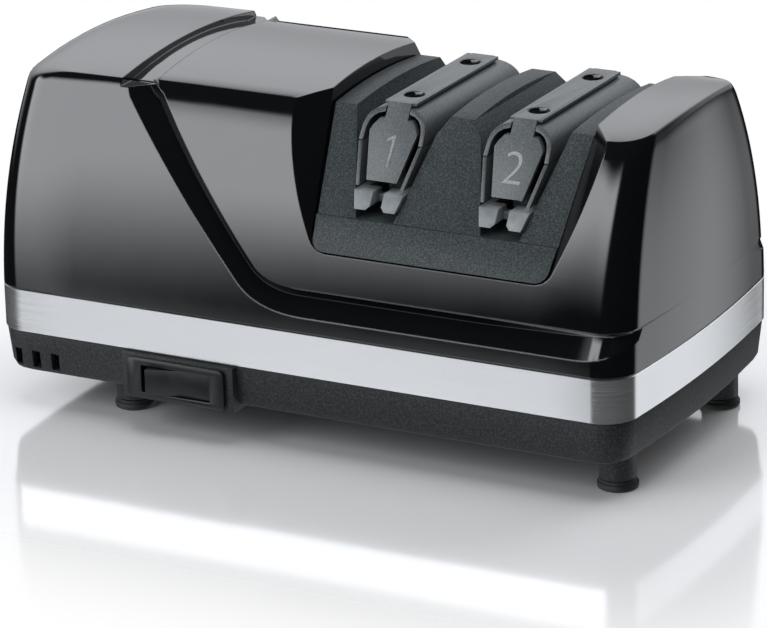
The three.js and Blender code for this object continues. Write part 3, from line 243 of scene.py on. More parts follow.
# Upper housing: one injection-moulded shell of polished black ABS, screwed down from below.
# A larger left block and a slimmer right body meet at a groove, and a slanting cut-out with a
# lining takes the guide deck. It mirrors softly, and its material draws a small edge radius.
half_length, half_depth, roof_level = 108, 55, 109
band_foot, band_top, seam, wall = 25.6, 39, 0.3, 2.4
crown, edge_rise, corner_radius, end_bow = 3.3, 4.6, 10.5, 3.1
lean_front, lean_left, lean_right, lean_slimmer = 14.3, 5.6, 2.8, 5.4
lean_start, lean_power, slim_start, slim_power = 0.12, 2.2, 0.26, 3
edge_front, edge_left, edge_right = 2.8, 12, 1.2
left_fall, left_fall_length, slim_drop, right_fall = 1.2, 45, 0.8, 1.1
shoulder_level = roof_level - crown - edge_rise
deck_middle, sill_level, sill_reach = 42.3, 64.1, 52.3
sill_half, cutout_slope, flare_slope, flare_turn = 38.4, 4.6 / 44.9, 0.66, 0.9
cutout_radius, flare_start, deck_gap = 8, 20, 0.45
groove_left, groove_right, groove_slope = -64.8, -55.8, 0.835
groove_foot, groove_top, groove_depth, deep_share = 44, 52.2, 3.5, 0.85
lower_bend, upper_bend, tail_start, tail_length = 8, 5, 89, 18.5
crossing_foot, crossing_depth = 103.5, 1.0
overlap, slip, overrun = 0.06, 0.03, 6
reach, above_all, past_end = 80, 120, 120


def plan_ring(front, left, right, radius, corner_steps, straight_steps):
    """The body's outline at one level as [x, y] points: bowed ends and round corners."""
    straight = front - radius
    bow = end_bow * (straight / front) ** 2
    points = []
    for cx, cy, start in (
        (right - bow - radius, -straight, -90), (right - bow - radius, straight, 0),
        (radius + bow - left, straight, 90), (radius + bow - left, -straight, 180),
    ):
        for i in range(corner_steps + 1):
            turn = math.radians(start + 90 * i / corner_steps)
            points.append((cx + radius * math.cos(turn), cy + radius * math.sin(turn)))
        side = 1 if start < 90 else -1
        for i in range(1, straight_steps):
            if start in (-90, 90):
                reached = right if side > 0 else left
                y = side * straight * (2 * i / straight_steps - 1)
                points.append((side * (reached - end_bow * (y / front) ** 2), y))
            else:
                far = left if side > 0 else right
                x = cx + (-side * far + side * (bow + radius) - cx) * i / straight_steps
                points.append((x, side * front))
    return points


def bridged(name, rings, closed=False):
    """A closed solid whose surface is bridged through rings of [x, y, z] points, in mm."""
    solid = bmesh.new()
    loops = []
    for ring in rings:
        made = bmesh.ops.create_circle(solid, segments=len(ring), radius=1)["verts"]
        for vertex, point in zip(made, ring):
            vertex.co = Vector(point) * MM
        loops.append(list({edge for vertex in made for edge in vertex.link_edges}))
    for lower, upper in zip(loops, loops[1:] + loops[:1] if closed else loops[1:]):
        bmesh.ops.bridge_loops(solid, edges=lower + upper)
    if not closed:
        bmesh.ops.holes_fill(solid, edges=loops[0] + loops[-1], sides=0)
    bmesh.ops.recalc_face_normals(solid, faces=solid.faces)
    return stand(name, solid)


def stand(name, solid):
    """Stands a bmesh in the scene as a smooth object at the origin."""
    data = bpy.data.meshes.new(name)
    solid.to_mesh(data)
    solid.free()
    piece = bpy.data.objects.new(name, data)
    bpy.context.scene.collection.objects.link(piece)
    for face in data.polygons:
        face.use_smooth = True
    return piece


def lean(level, inset, slimmer):
    """How far the front, the left end and the right end lean in at a level, more near the top."""
    share = max(0, (level - band_top) / (roof_level - crown - band_top))
    curve = lean_start * share + (1 - lean_start) * share ** lean_power
    slimming = slimmer * (slim_start + (1 - slim_start) * share ** slim_power)
    return (inset + lean_front * curve + slimming,
            inset + lean_left * curve, inset + lean_right * curve)


def body(name, inset, slimmer, bottom, side_steps=40, edge_steps=9, corner_steps=12,
         straight_steps=10):
    """The body above the band, shrunk by an inset, with its sides leaning in by more."""
    rings = []

    def roof(x, y, front):
        left_share = max(0, left_fall_length - half_length - x) / left_fall_length
        drop = left_fall * left_share ** 2
        if slimmer:
            drop = slim_drop + right_fall * (max(0, x) / half_length) ** 2
        return crown * (1 - (y / front) ** 2) - drop

    def ring(front_in, left_in, right_in, level, roof_share):
        front = half_depth - front_in
        return [
            (x, y, level + roof_share * roof(x, y, front)) for x, y in plan_ring(
                front, half_length - left_in, half_length - right_in, corner_radius - inset,
                corner_steps, straight_steps,
            )
        ]

    for i in range(side_steps + 1):
        level = bottom + (shoulder_level - bottom) * i / side_steps
        rings.append(ring(*lean(level, inset, slimmer), level, 0))
    at_shoulder = lean(shoulder_level, inset, slimmer)
    just_below = lean(shoulder_level - 1, inset, slimmer)
    for i in range(1, edge_steps + 1):
        t = i / edge_steps
        rise = 2 * t - t * t
        turns = [
            ((edge_rise - inset) * (above - under)) * 2 * t * (1 - t) + edge * t * t
            for above, under, edge in zip(
                at_shoulder, just_below, (edge_front, edge_left, edge_right),
            )
        ]
        rings.append(ring(
            *(a + turn for a, turn in zip(at_shoulder, turns)),
            shoulder_level + (edge_rise - inset) * rise, rise,
        ))
    front = half_depth - at_shoulder[0] - edge_front
    edge = rings[-1]
    for share in (0.86, 0.7, 0.52, 0.34, 0.16, 0.04):
        rings.append([
            (x * (0.4 + 0.6 * share), y * share, shoulder_level + edge_rise - inset + roof(
                x * (0.4 + 0.6 * share), y * share, front,
            )) for x, y, _ in edge
        ])
    return bridged(name, rings)


def prism(name, outline, start, end):
    """A solid along Y with an outline of [x, z] points, in mm."""
    return bridged(name, [[(x, y, z) for x, z in outline] for y in (start, end)])


def combined(piece, other, operation):
    """Joins another solid to a piece, or cuts it away, and removes it."""
    modifier = piece.modifiers.new("with", "BOOLEAN")
    modifier.object, modifier.operation, modifier.solver = other, operation, "EXACT"
    graph = bpy.context.evaluated_depsgraph_get()
    data = bpy.data.meshes.new_from_object(piece.evaluated_get(graph))
    piece.modifiers.clear()
    piece.data = data
    bpy.data.objects.remove(other)
    return piece


def groove_edge(x, level, bend):
    """One edge of the groove: over the top, down the slant, round a bend and along."""
    top = roof_level - crown
    bend_x = x + (top - level - bend) * groove_slope
    points = [(x, above_all), (x, top + 1)]
    points += [
        (x + (bend_x - x) * i / 24, top - (top - level - bend) * i / 24) for i in range(24)
    ]
    start, knee = Vector((bend_x, level + bend)), Vector((bend_x + bend * groove_slope, level))
    for i in range(17):
        t = i / 16
        end = knee + Vector((2 * bend, 0))
        points.append(tuple((1 - t) ** 2 * start + 2 * t * (1 - t) * knee + t * t * end))
    first = points[-1][0]
    points += [(first + (tail_start - first) * i / 12, level) for i in range(1, 13)]
    return points


# The groove is an uneven V, deepest under its upper edge. It is cut along its two edges, one on
# each body's surface, to a fading point.
lower_edge = groove_edge(groove_left, groove_foot, lower_bend)
upper_edge = groove_edge(groove_right, groove_top, upper_bend)
tail_rise = 8.2
tip = [
    (tail_start + tail_length * math.sin(math.radians(a)),
     groove_foot + tail_rise * (1 - math.cos(math.radians(a)))) for a in range(6, 85, 6)
]
lower_tip, upper_tip = lower_edge + tip, upper_edge + [(x, groove_top) for x, z in tip]


def face_reach(x, level, slimmer):
    """How far the front surface stands from the middle plane at a place seen from the front."""
    front_in, _, right_in = lean(min(level, shoulder_level), 0, slimmer)
    front, right = half_depth - front_in, half_length - right_in
    centre = right - end_bow * ((front - corner_radius) / front) ** 2 - corner_radius
    past = min(max(0, x - centre), corner_radius)
    return front - corner_radius + math.sqrt(corner_radius ** 2 - past ** 2)


def groove_cutter(name, side):
    """The solid that cuts the groove into the front or the back, fading out along its tail."""
    rings = []
    for i, ((xa, za), (xb, zb)) in enumerate(zip(lower_tip, upper_tip)):
        fade = min(1, (len(lower_tip) - 1 - i) / (len(tip) + 4))
        outer = face_reach(xa, za, 0)
        inner = face_reach(xb, zb, lean_slimmer)
        xa, za = xa - overlap, za - overlap
        deepest = inner - groove_depth * fade
        rings.append([(x, side * y, z) for x, y, z in (
            (xa, outer + overrun, za), (xa, outer, za),
            (xa + deep_share * (xb - xa), deepest, za + deep_share * (zb - za)),
            (xb, inner, zb), (xb, outer + overrun, zb),
        )])
    return bridged(name, rings)


def cutout_outline(half_sill, slope, level):
    """The cut-out from the front: slanting sides that turn into the sill on round corners."""
    tilt = math.atan(slope)
    cx = half_sill + slope * cutout_radius - cutout_radius / math.cos(tilt)
    side = []
    for i in range(13):
        turn = -math.pi / 2 + (math.pi / 2 - tilt) * i / 12
        side.append((
            cx + cutout_radius * math.cos(turn),
            level + cutout_radius + cutout_radius * math.sin(turn),
        ))
    side.append((half_sill + slope * (above_all - level), above_all))
    whole = side + [(-x, z) for x, z in reversed(side)]
    return [(deck_middle + x, z) for x, z in whole]


def cut_cutout(piece, grow, level):
    """Cuts the deck's cut-out from a piece: its straight part, and a flare at each face."""
    rise = level - sill_level
    combined(piece, prism("straight", cutout_outline(
        sill_half + cutout_slope * rise + grow, cutout_slope, level,
    ), -reach, reach), "DIFFERENCE")
    for side in (-1, 1):
        rings = [
            [(x, side * y, z) for x, z in cutout_outline(
                sill_half - flare_turn * (sill_reach - y) + flare_slope * rise + grow,
                flare_slope, level,
            )] for y in (flare_start, reach)
        ]
        combined(piece, bridged("flare", rings), "DIFFERENCE")
    return piece


def boss_ring(x, y, radius, level, steps=32):
    """A circle of [x, y, z] points at a level."""
    return [
        (x + radius * math.cos(2 * math.pi * i / steps),
         y + radius * math.sin(2 * math.pi * i / steps), level) for i in range(steps)
    ]


housing = body("housing_shell", 0, 0, band_top + seam)
right_part = prism("right_part", [
    (x - overlap, z - overlap) for x, z in upper_edge + [(past_end, groove_top)]
] + [(past_end, above_all)], -reach, reach)
combined(housing, combined(
    right_part, body("slim", 0, lean_slimmer, band_top + seam), "DIFFERENCE",
), "DIFFERENCE")
# Over the roof the groove is flat, a shallow channel from the front to the back.
combined(housing, combined(
    prism("crossing", [(x, z) for x, z in (
        (groove_left - slip, crossing_foot), (groove_right + slip, crossing_foot),
        (groove_right + slip, above_all + 1), (groove_left - slip, above_all + 1),
    )], -reach, reach),
    body("crossing_floor", crossing_depth, lean_slimmer, band_top), "DIFFERENCE",
), "DIFFERENCE")
for side in (-1, 1):
    combined(housing, groove_cutter("groove", side), "DIFFERENCE")
cut_cutout(housing, deck_gap, sill_level - deck_gap)
# A skirt runs down inside the band, and the whole shell is hollow from below.
skirt_in, hollow_in, hollow_foot = 1.5, 1.8, 19.3
skirt = bridged("skirt", [
    [(x, y, z) for x, y in plan_ring(
        half_depth - skirt_in, half_length - skirt_in, half_length - skirt_in,
        corner_radius - skirt_in, 8, 8,
    )] for z in (band_foot, band_top + 2 * seam)
])
combined(housing, skirt, "UNION")
hollow = body("hollow", hollow_in + wall, lean_slimmer, hollow_foot, 10, 3, 5, 6)
below = hollow.copy()
below.data = hollow.data.copy()
bpy.context.scene.collection.objects.link(below)
combined(below, prism("low", [
    (-past_end, 0), (past_end, 0), (past_end, sill_level), (-past_end, sill_level),
], -reach, reach), "INTERSECT")
cut_cutout(hollow, wall, sill_level - wall)
combined(housing, hollow, "DIFFERENCE")
combined(housing, below, "DIFFERENCE")
# Four screw bosses stand inside it, each tied to the wall by a rib.
boss_y, boss_radius, boss_foot, boss_top = 46.2, 4.2, 28, 44
rib_half, rib_length, pilot_radius, pilot_top = 1.2, 6.4, 1.8, 41.6
for x, y in ((-76, -boss_y), (-76, boss_y), (86, -boss_y), (86, boss_y)):
    boss = bridged("boss", [boss_ring(x, y, boss_radius, z) for z in (boss_foot, boss_top)])
    toward = math.copysign(1, y)
    rib = prism("rib", [
        (x - rib_half, boss_foot), (x + rib_half, boss_foot),
        (x + rib_half, boss_top), (x - rib_half, boss_top),
    ], y, y + rib_length * toward)
    combined(boss, rib, "UNION")
    combined(boss, bridged("pilot", [
        boss_ring(x, y, pilot_radius, z) for z in (boss_foot - 1, pilot_top)
    ]), "DIFFERENCE")
    combined(housing, boss, "UNION")
for vertex in housing.data.vertices:
    vertex.co.z = min(vertex.co.z, cad_high[2])
housing.data.set_sharp_from_angle(angle=math.radians(30))
for face in housing.data.polygons:
    face.use_smooth = True


def finish(name, colour, roughness, ior=1.5, metallic=0.0, **sockets):
    """A new material with one Principled shader, its tree and its Object coordinates."""
    material = bpy.data.materials.new(name)
    material.use_nodes = True
    tree = material.node_tree
    tree.nodes.clear()
    values = {"Base Color": linear(colour), "Roughness": roughness, "Metallic": metallic}
    if not metallic:
        values["IOR"] = ior
    for key, value in sockets.items():
        values["Specular IOR Level" if key == "specular" else key.replace("_", " ").title()] = value
    shader = add(tree, "BsdfPrincipled", values)
    add(tree, "OutputMaterial", links={"Surface": shader.outputs[0]})
    return material, tree, shader, add(tree, "TexCoord").outputs["Object"]


def grain(tree, coords, size, detail=2.0, stretch=(1, 1, 1)):
    """Noise whose lumps are size millimetres across, stretched along the axes."""
    placed = add(tree, "Mapping", {"Scale": stretch}, {"Vector": coords})
    return add(tree, "TexNoise", {
        "Scale": 1 / (2 * size * MM), "Detail": detail, "Roughness": 0.55,
    }, {"Vector": placed.outputs[0]}).outputs["Fac"]


def relief(tree, shader, height, strength, depth, radius=0.0):
    """Raises the surface by a height, depth mm at most, over edges rounded by radius mm."""
    bump = add(tree, "Bump", {"Strength": strength, "Distance": depth * MM}, {"Height": height})
    if radius:
        rounded = add(tree, "Bevel", {"Radius": radius * MM}, samples=6)
        tree.links.new(rounded.outputs[0], bump.inputs["Normal"])
    tree.links.new(bump.outputs[0], shader.inputs["Normal"])


def vary(tree, socket, factor, low, high, start=0.3, stop=0.7):
    """Runs a shader socket between two colours or two numbers as a factor goes up."""
    if isinstance(low, int):
        mixed = add(tree, "ValToRGB", links={"Fac": factor})
        mixed.color_ramp.elements[0].position, mixed.color_ramp.elements[1].position = start, stop
        mixed.color_ramp.elements[0].color = linear(low)
        mixed.color_ramp.elements[1].color = linear(high)
    else:
        mixed = add(tree, "MapRange", {
            "From Min": start, "From Max": stop, "To Min": low, "To Max": high,
        }, {"Value": factor})
    tree.links.new(mixed.outputs[0], socket)


def fit(piece, body_name, slot_name, material, *stood_for):
    """Gives a new piece its body, its material and the nodes it stands for; its slot name is not
    used.
    """
    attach(piece, body_name)
    piece.data.materials.clear()
    piece.data.materials.append(material)
    if stood_for:
        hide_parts(*stood_for)


# Polished steel tooling leaves a mirror with a very faint orange peel, and handling leaves
# slightly duller patches a few centimetres wide.
gloss_black, tree, shader, coords = finish("polished_black_abs", 0x0B0C0E, 0.06, 1.55)
shell_edge_radius = 0.6
relief(tree, shader, grain(tree, coords, 4.0, 1.0), 0.006, 1.5, shell_edge_radius)
vary(tree, shader.inputs["Roughness"], grain(tree, coords, 14.0), 0.045, 0.085)
fit(housing, "housing", "gloss_black_shell", gloss_black, "upper_housing")


# Trim band: a strip of 1.2 mm stainless steel, brushed along its length, bent round the body
# and held between the housing and the tray. The brushing draws highlights out along it. It is
# set less metallic than bare steel is, only so that it stays grey where it mirrors darkness.
def band_ring(inset, level):
    """The band's outline at a level, as [x, y, z] points."""
    return [(x, y, level) for x, y in plan_ring(
        half_depth - inset, half_length - inset, half_length - inset, corner_radius - inset, 16, 14,
    )]


band_wall, chamfer, band_middle = 1.2, 0.12, 32
band = bridged("brushed_band", [
    band_ring(chamfer, band_foot), band_ring(0, band_foot + chamfer), band_ring(0, band_middle),
    band_ring(0, band_top - chamfer), band_ring(chamfer, band_top), band_ring(band_wall, band_top),
    band_ring(band_wall, band_foot),
], closed=True)
band.data.set_sharp_from_angle(angle=math.radians(30))
brushed_steel, tree, shader, coords = finish(
    "brushed_stainless_steel", 0xC4C5C6, 0.2, metallic=0.85,
)
along_the_band = (0.012, 0.012, 1)
streaks = grain(tree, coords, 0.12, 3.0, along_the_band)
relief(tree, shader, streaks, 0.06, 0.04)
vary(tree, shader.inputs["Roughness"], streaks, 0.15, 0.27)
vary(tree, shader.inputs["Base Color"], streaks, 0xBEBFC1, 0xCBCCCD)
fit(band, "housing", "steel_band", brushed_steel, "trim_band")


weld_distance, flat_angle, edge_angle, smooth_angle = 0.004, 0.6, 38, 34


def dress(names, material, edge=0.0):
    """Gives CAD nodes a material, and rounds their edges by edge millimetres."""
    for name in names:
        node = nodes[name]
        node.data.materials.clear()
        node.data.materials.append(material)
        weld = node.modifiers.new("weld", "WELD")
        weld.merge_threshold = weld_distance * MM
        flats = node.modifiers.new("flats", "DECIMATE")
        flats.decimate_type = "DISSOLVE"
        flats.angle_limit = math.radians(flat_angle)
        if edge:
            bevel = node.modifiers.new("edges", "BEVEL")
            bevel.width = edge * MM
            bevel.segments = 2
            bevel.limit_method = "ANGLE"
            bevel.angle_limit = math.radians(edge_angle)
            bevel.harden_normals = False
        split = node.modifiers.new("sharp", "EDGE_SPLIT")
        split.split_angle = math.radians(smooth_angle)
        for face in node.data.polygons:
            face.use_smooth = True


# Base tray, hatch and shaft bracket: black ABS from spark-eroded tooling, which leaves an even
# matt grain 0.3 mm across that breaks every highlight up, with paler specks on its peaks.
matt_black, tree, shader, coords = finish(
    "spark_eroded_black_abs", 0x191B1D, 0.6, 1.5, specular=0.3,
)
erosion = grain(tree, coords, 0.3)
relief(tree, shader, erosion, 0.5, 0.2)
vary(tree, shader.inputs["Base Color"], erosion, 0x121415, 0x2E3133, 0.42, 0.68)
dress(["base_tray", "end_bracket", "cleanout_hatch"], matt_black, 0.4)

# Guide deck: an ABS insert clipped into the cut-out, its tooling sand-textured. The grain is
# coarser and paler than the tray's, so it reads as a fine speckle.
sandy_black, tree, shader, coords = finish("sandy_black_abs", 0x26292B, 0.62, 1.5, specular=0.35)
sand = grain(tree, coords, 0.24, 1.0)
relief(tree, shader, sand, 0.8, 0.15)
vary(tree, shader.inputs["Base Color"], sand, 0x1A1E20, 0x3A4043, 0.4, 0.68)
dress(["guide_deck"], sandy_black, 0.4)


# Guide blocks: dark grey ABS mouldings, a top strip with a spade-shaped plate at each end,
# sand-textured more finely than the deck.
guide_middles = (deck_middle - 20.35, deck_middle + 20.35)
sandy_grey, tree, shader, coords = finish("sandy_grey_abs", 0x44474B, 0.5, 1.5, specular=0.55)
sand = grain(tree, coords, 0.2, 1.0)
relief(tree, shader, sand, 0.6, 0.1)
vary(tree, shader.inputs["Base Color"], sand, 0x393D40, 0x535759, 0.4, 0.68)
dress(["guide_block_1", "guide_block_2"], sandy_grey, 0.25)

# Stage numbers: plain pale grey digits pad-printed on the front plates, a tenth of a
# millimetre proud, with the slight unevenness of thin ink on a sandy surface. The 1 is drawn
# with its flag, and the 2 is set in a plain sans serif.
printed_grey, tree, shader, coords = finish("pad_printed_grey", 0x888B8E, 0.5, 1.5, specular=0.3)
ink = grain(tree, coords, 0.3, 1.0)
relief(tree, shader, ink, 0.4, 0.08)
vary(tree, shader.inputs["Base Color"], ink, 0x7A7D80, 0x97999C)
face_tilt, plate_proud, ink_gap = 0.64, 1.0, 0.06
digit_height, digit_level, ink_half = 9.8, 92.3, 0.08
one_outline = (
    (-0.5, 0), (0.5, 0), (0.5, 9.8), (-0.25, 9.8), (-2.1, 8.4), (-2.1, 7.3), (-0.5, 8.4),
)
for digit, middle in zip("12", guide_middles):
    if digit == "1":
        drawn = bridged("digit", [
            [(x, y, z) for x, y in one_outline] for z in (-ink_half, ink_half)
        ])
    else:
        curve = bpy.data.curves.new("digit", "FONT")
        curve.body = digit
        curve.size = 14 * MM
        curve.extrude = ink_half * MM
        curve.offset = -0.18 * MM
        curve.resolution_u = 8
        drawn = bpy.data.objects.new("digit", curve)
        bpy.context.scene.collection.objects.link(drawn)
    bpy.context.view_layer.update()
    data = bpy.data.meshes.new_from_object(
        drawn.evaluated_get(bpy.context.evaluated_depsgraph_get())
    )
    bpy.data.objects.remove(drawn)
    places = [v.co.copy() for v in data.vertices]
    low_x, high_x = min(p.x for p in places), max(p.x for p in places)
    low_y, high_y = min(p.y for p in places), max(p.y for p in places)
    size = digit_height * MM / (high_y - low_y)
    plate = -(sill_reach - face_tilt * (digit_level - sill_level) + plate_proud + ink_gap)
    upward = Vector((0, face_tilt, 1)).normalized()
    outward = Vector((0, -1, face_tilt)).normalized()
    for vertex in data.vertices:
        x, y, z = vertex.co
        vertex.co = (
            Vector((middle, plate, digit_level)) * MM
            + Vector((1, 0, 0)) * (x - (low_x + high_x) / 2) * size
            + upward * (y - (low_y + high_y) / 2) * size + outward * z
        )
    number = bpy.data.objects.new("stage_number_" + digit, data)
    bpy.context.scene.collection.objects.link(number)
    fit(number, "housing", "stop_grey_plastic", printed_grey)

# Recess sleeves: short turned sleeves of polished black nylon, pressed flush into the screw
# recesses of the guide blocks. The polished bore shows as a light arc in the dark recess.
glossy_sleeve, tree, shader, coords = finish("polished_black_nylon", 0x101112, 0.12, 1.53)
relief(tree, shader, grain(tree, coords, 0.8), 0.05, 0.05)
vary(tree, shader.inputs["Roughness"], grain(tree, coords, 2.0), 0.08, 0.18)


def spun(name, profile, axis, place, steps=64):
    """A turned piece from [radius, station] points, in mm, spun about an axis of the frame."""
    solid = bmesh.new()
    along = Vector([axis == letter for letter in "XYZ"])
    out = Vector((0, 0, 1)) if axis != "Z" else Vector((1, 0, 0))
    centre = Vector(place) * MM
    made = [solid.verts.new(centre + (out * r + along * s) * MM) for r, s in profile]
    edges = [solid.edges.new(pair) for pair in zip(made, made[1:])]
    if profile[0][0] and profile[-1][0]:
        edges.append(solid.edges.new((made[-1], made[0])))
    bmesh.ops.spin(
        solid, geom=made + edges, cent=centre, axis=along, angle=2 * math.pi, steps=steps,
        use_merge=True,
    )
    bmesh.ops.remove_doubles(solid, verts=solid.verts, dist=0.001 * MM)
    bmesh.ops.recalc_face_normals(solid, faces=solid.faces)
    piece = stand(name, solid)
    piece.data.set_sharp_from_angle(angle=math.radians(smooth_angle))
    return piece


screw_y = 18.3
for stage, middle in zip((1, 2), guide_middles):
    for y, word in ((-screw_y, "front"), (screw_y, "rear")):
        sleeve = spun(f"recess_sleeve_{stage}_{word}", [
            (3.36, 101.6), (3.36, 104.75), (3.28, 104.82), (3.2, 104.8), (2.95, 104.4),
            (2.95, 101.6),
        ], "Z", (middle, y, 0), 48)
        fit(sleeve, "housing", "guide_grey_plastic", glossy_sleeve)

# Guide springs: dark grey acetal arches, finely sand-textured, each a crown held down by the
# guide block and two legs that give when a blade is pushed in. Their rims look paler.
sandy_acetal, tree, shader, coords = finish("sandy_dark_acetal", 0x3A3D40, 0.46, 1.48)
sand = grain(tree, coords, 0.2, 1.0)
relief(tree, shader, sand, 0.5, 0.08)
vary(tree, shader.inputs["Base Color"], sand, 0x303335, 0x4A4D50, 0.4, 0.68)
dress([
    "spring_crown_1", "spring_crown_2", "spring_leg_1_left", "spring_leg_1_right",
    "spring_leg_2_left", "spring_leg_2_right",
], sandy_acetal, 0.25)

# Stop frames: pale grey acetal pads that a blade rests on, rubbed a little darker by use.
grey_acetal, tree, shader, coords = finish(
    "moulded_grey_acetal", 0x6E7275, 0.45, 1.48, specular=0.4,
)
relief(tree, shader, grain(tree, coords, 0.4), 0.3, 0.08)
vary(tree, shader.inputs["Base Color"], grain(tree, coords, 2.2, 3.0), 0x5F6366, 0x787C7F)
dress(["stop_frame_1", "stop_frame_2"], grey_acetal, 0.35)

# Screws, pins, bolts, brackets, terminals: bright zinc on steel, which is finely mottled and
# a little cloudy. The slotted heads lie deep in the recesses of the guide blocks.
zinc_steel, tree, shader, coords = finish("zinc_plated_steel", 0xA2A5A8, 0.32, metallic=1.0)
mottle = grain(tree, coords, 0.6, 3.0)
relief(tree, shader, mottle, 0.2, 0.04)
vary(tree, shader.inputs["Roughness"], mottle, 0.24, 0.42)
vary(tree, shader.inputs["Base Color"], grain(tree, coords, 2.5), 0x8F9396, 0xB4B6B7)
dress([
    name for name in nodes
    if name.startswith(("guide_screw", "base_screw", "bracket_screw", "drive_pin", "motor_bolt",
                        "switch_terminal", "motor_bracket"))
], zinc_steel, 0.15)

# Motor shaft: ground silver steel. Grinding leaves fine rings round it, 0.1 mm apart.
shaft_level = 58
ground_steel, tree, shader, coords = finish("ground_silver_steel", 0xB9BBBD, 0.2, metallic=1.0)
rings = grain(tree, coords, 0.1, 2.0, (1, 0.02, 0.02))
relief(tree, shader, rings, 0.2, 0.02)
vary(tree, shader.inputs["Roughness"], rings, 0.14, 0.28)
dress(["motor_shaft"], ground_steel)


def box_cutter(low, high):
    """A box between two corners in mm, to cut a piece with."""
    solid = bmesh.new()
    low, high = Vector(low) * MM, Vector(high) * MM
    middle = (low + high) / 2
    bmesh.ops.create_cube(solid, size=1, matrix=Matrix.Translation(middle) @ Matrix.Diagonal(
        (*(high - low), 1),
    ))
    return stand("cutter", solid)


# Abrasive discs: two dished steel wheels for each guide, electroplated with diamond grit and
# turned by a cross pin in a notch of the hub. The coat is a dull warm grey, rough with grit
# drawn 0.25 mm across, coarser than it is, so that it shows. The hubs are bare and turned.
diamond_coat, tree, shader, coords = finish("diamond_plated_steel", 0x7A7872, 0.62, metallic=0.35)
grit = grain(tree, coords, 0.25, 4.0)
across = add(tree, "VectorMath", {1: (0, 1, 1)}, {0: add(tree, "Mapping", {
    "Location": (0, 0, -shaft_level * MM),
}, {"Vector": coords}).outputs[0]}, operation="MULTIPLY")
from_axis = add(tree, "VectorMath", links={0: across.outputs[0]}, operation="LENGTH")
hub_radius, coat_radius = 7.2, 7.6
coated = add(tree, "MapRange", {"From Min": hub_radius * MM, "From Max": coat_radius * MM}, {
    "Value": from_axis.outputs["Value"],
})
height = add(tree, "Math", links={0: grit, 1: coated.outputs[0]}, operation="MULTIPLY")
relief(tree, shader, height.outputs[0], 0.9, 0.15)
vary(tree, shader.inputs["Base Color"], height.outputs[0], 0x9C9A95, 0x63615C, 0.0, 0.6)
vary(tree, shader.inputs["Roughness"], height.outputs[0], 0.3, 0.7, 0.0, 0.4)
disc_profile = (
    (3.3, 2.5), (7, 2.5), (22.8, 4.36), (23.6, 4.55), (24, 4.9), (24, 5.4), (23.7, 5.68),
    (23.2, 5.66), (7.2, 4.92), (7, 5.0), (7, 7.6), (6.7, 7.9), (3.3, 7.9),
)
notch_start, notch_end, notch_reach, notch_foot, notch_top = 5.3, 20, 7.3, 56.7, 59.3
for stage, middle in zip((1, 2), guide_middles):
    for side, word in ((-1, "left"), (1, "right")):
        wheel = spun(f"diamond_disc_{stage}_{word}", [
            (r, side * s) for r, s in disc_profile
        ], "X", (middle, 0, shaft_level), 96)
        ends = sorted((middle + side * notch_start, middle + side * notch_end))
        combined(wheel, box_cutter(
            (ends[0], -notch_reach, notch_foot), (ends[1], notch_reach, notch_top),
        ), "DIFFERENCE")
        wheel.data.set_sharp_from_angle(angle=math.radians(smooth_angle))
        fit(wheel, f"disc_{stage}_{word}", "abrasive_coat", diamond_coat,
            f"disc_{stage}_{word}")

# Disc springs: one coil of bright 0.7 mm spring wire between the discs of each pair. Each half
# is a piece of its own, because each disc presses it from its own side. The wire is slightly
# uneven from drawing, with a hard, bright highlight.
spring_wire, tree, shader, coords = finish("drawn_spring_steel", 0xA9ABAC, 0.22, metallic=1.0)
drawing = grain(tree, coords, 0.15, 2.0)
relief(tree, shader, drawing, 0.15, 0.02)
vary(tree, shader.inputs["Roughness"], drawing, 0.16, 0.3)
coil_radius, wire_radius, half_coil, turns, steps = 5.2, 0.35, 1.85, 1.5, 60
for stage, middle in zip((1, 2), guide_middles):
    for side, word in ((-1, "left"), (1, "right")):
        coil = bmesh.new()
        start = Vector((middle, 0, shaft_level + coil_radius)) * MM
        turned = Matrix.Translation(start) @ Matrix.Rotation(math.pi / 2, 4, "X")
        made = bmesh.ops.create_circle(
            coil, segments=12, radius=wire_radius * MM, matrix=turned,
        )["verts"]
        section = made + list({edge for vertex in made for edge in vertex.link_edges})
        bmesh.ops.spin(
            coil, geom=section, cent=Vector((middle, 0, shaft_level)) * MM,
            axis=(side, 0, 0), dvec=Vector((side * half_coil / steps, 0, 0)) * MM,
            angle=2 * math.pi * turns, steps=steps, use_merge=False,
        )
        bmesh.ops.holes_fill(coil, edges=[e for e in coil.edges if e.is_boundary], sides=0)
        bmesh.ops.recalc_face_normals(coil, faces=coil.faces)
        half = stand(f"coil_spring_{stage}_{word}", coil)
        half.data.set_sharp_from_angle(angle=math.radians(50))
        fit(half, "drive_shaft", "plain_steel", spring_wire, f"disc_spring_{stage}")
        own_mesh(half)

# Stator and rotor: stacks of punched silicon-steel sheets, blue-grey, with the edge of each
# 0.5 mm sheet showing as a line across the stack.
lamination, tree, shader, coords = finish("stacked_silicon_steel", 0x6C7176, 0.45, metallic=0.9)
sheet_thickness = 0.5
sheets = add(tree, "TexWave", {
    "Scale": 2 * math.pi / (sheet_thickness * MM) / 20, "Distortion": 0.25, "Detail": 1.0,
}, {"Vector": coords}, bands_direction="X")
relief(tree, shader, sheets.outputs["Fac"], 0.5, 0.08)
vary(tree, shader.inputs["Base Color"], sheets.outputs["Fac"], 0x484C51, 0x7B8086, 0.15, 0.6)
vary(tree, shader.inputs["Roughness"], grain(tree, coords, 3.0), 0.36, 0.52)
dress(["motor_stator", "rotor_core"], lamination, 0.2)

# Winding: enamelled copper wire of about 1 mm, wound in layers on the rear limb of the stack.
# Its turns catch the light as even lines, and the enamel makes them glossy.
limb_x, limb_y, limb_half_x, limb_half_y, limb_radius = -56, 30, 14.35, 7.35, 0.6


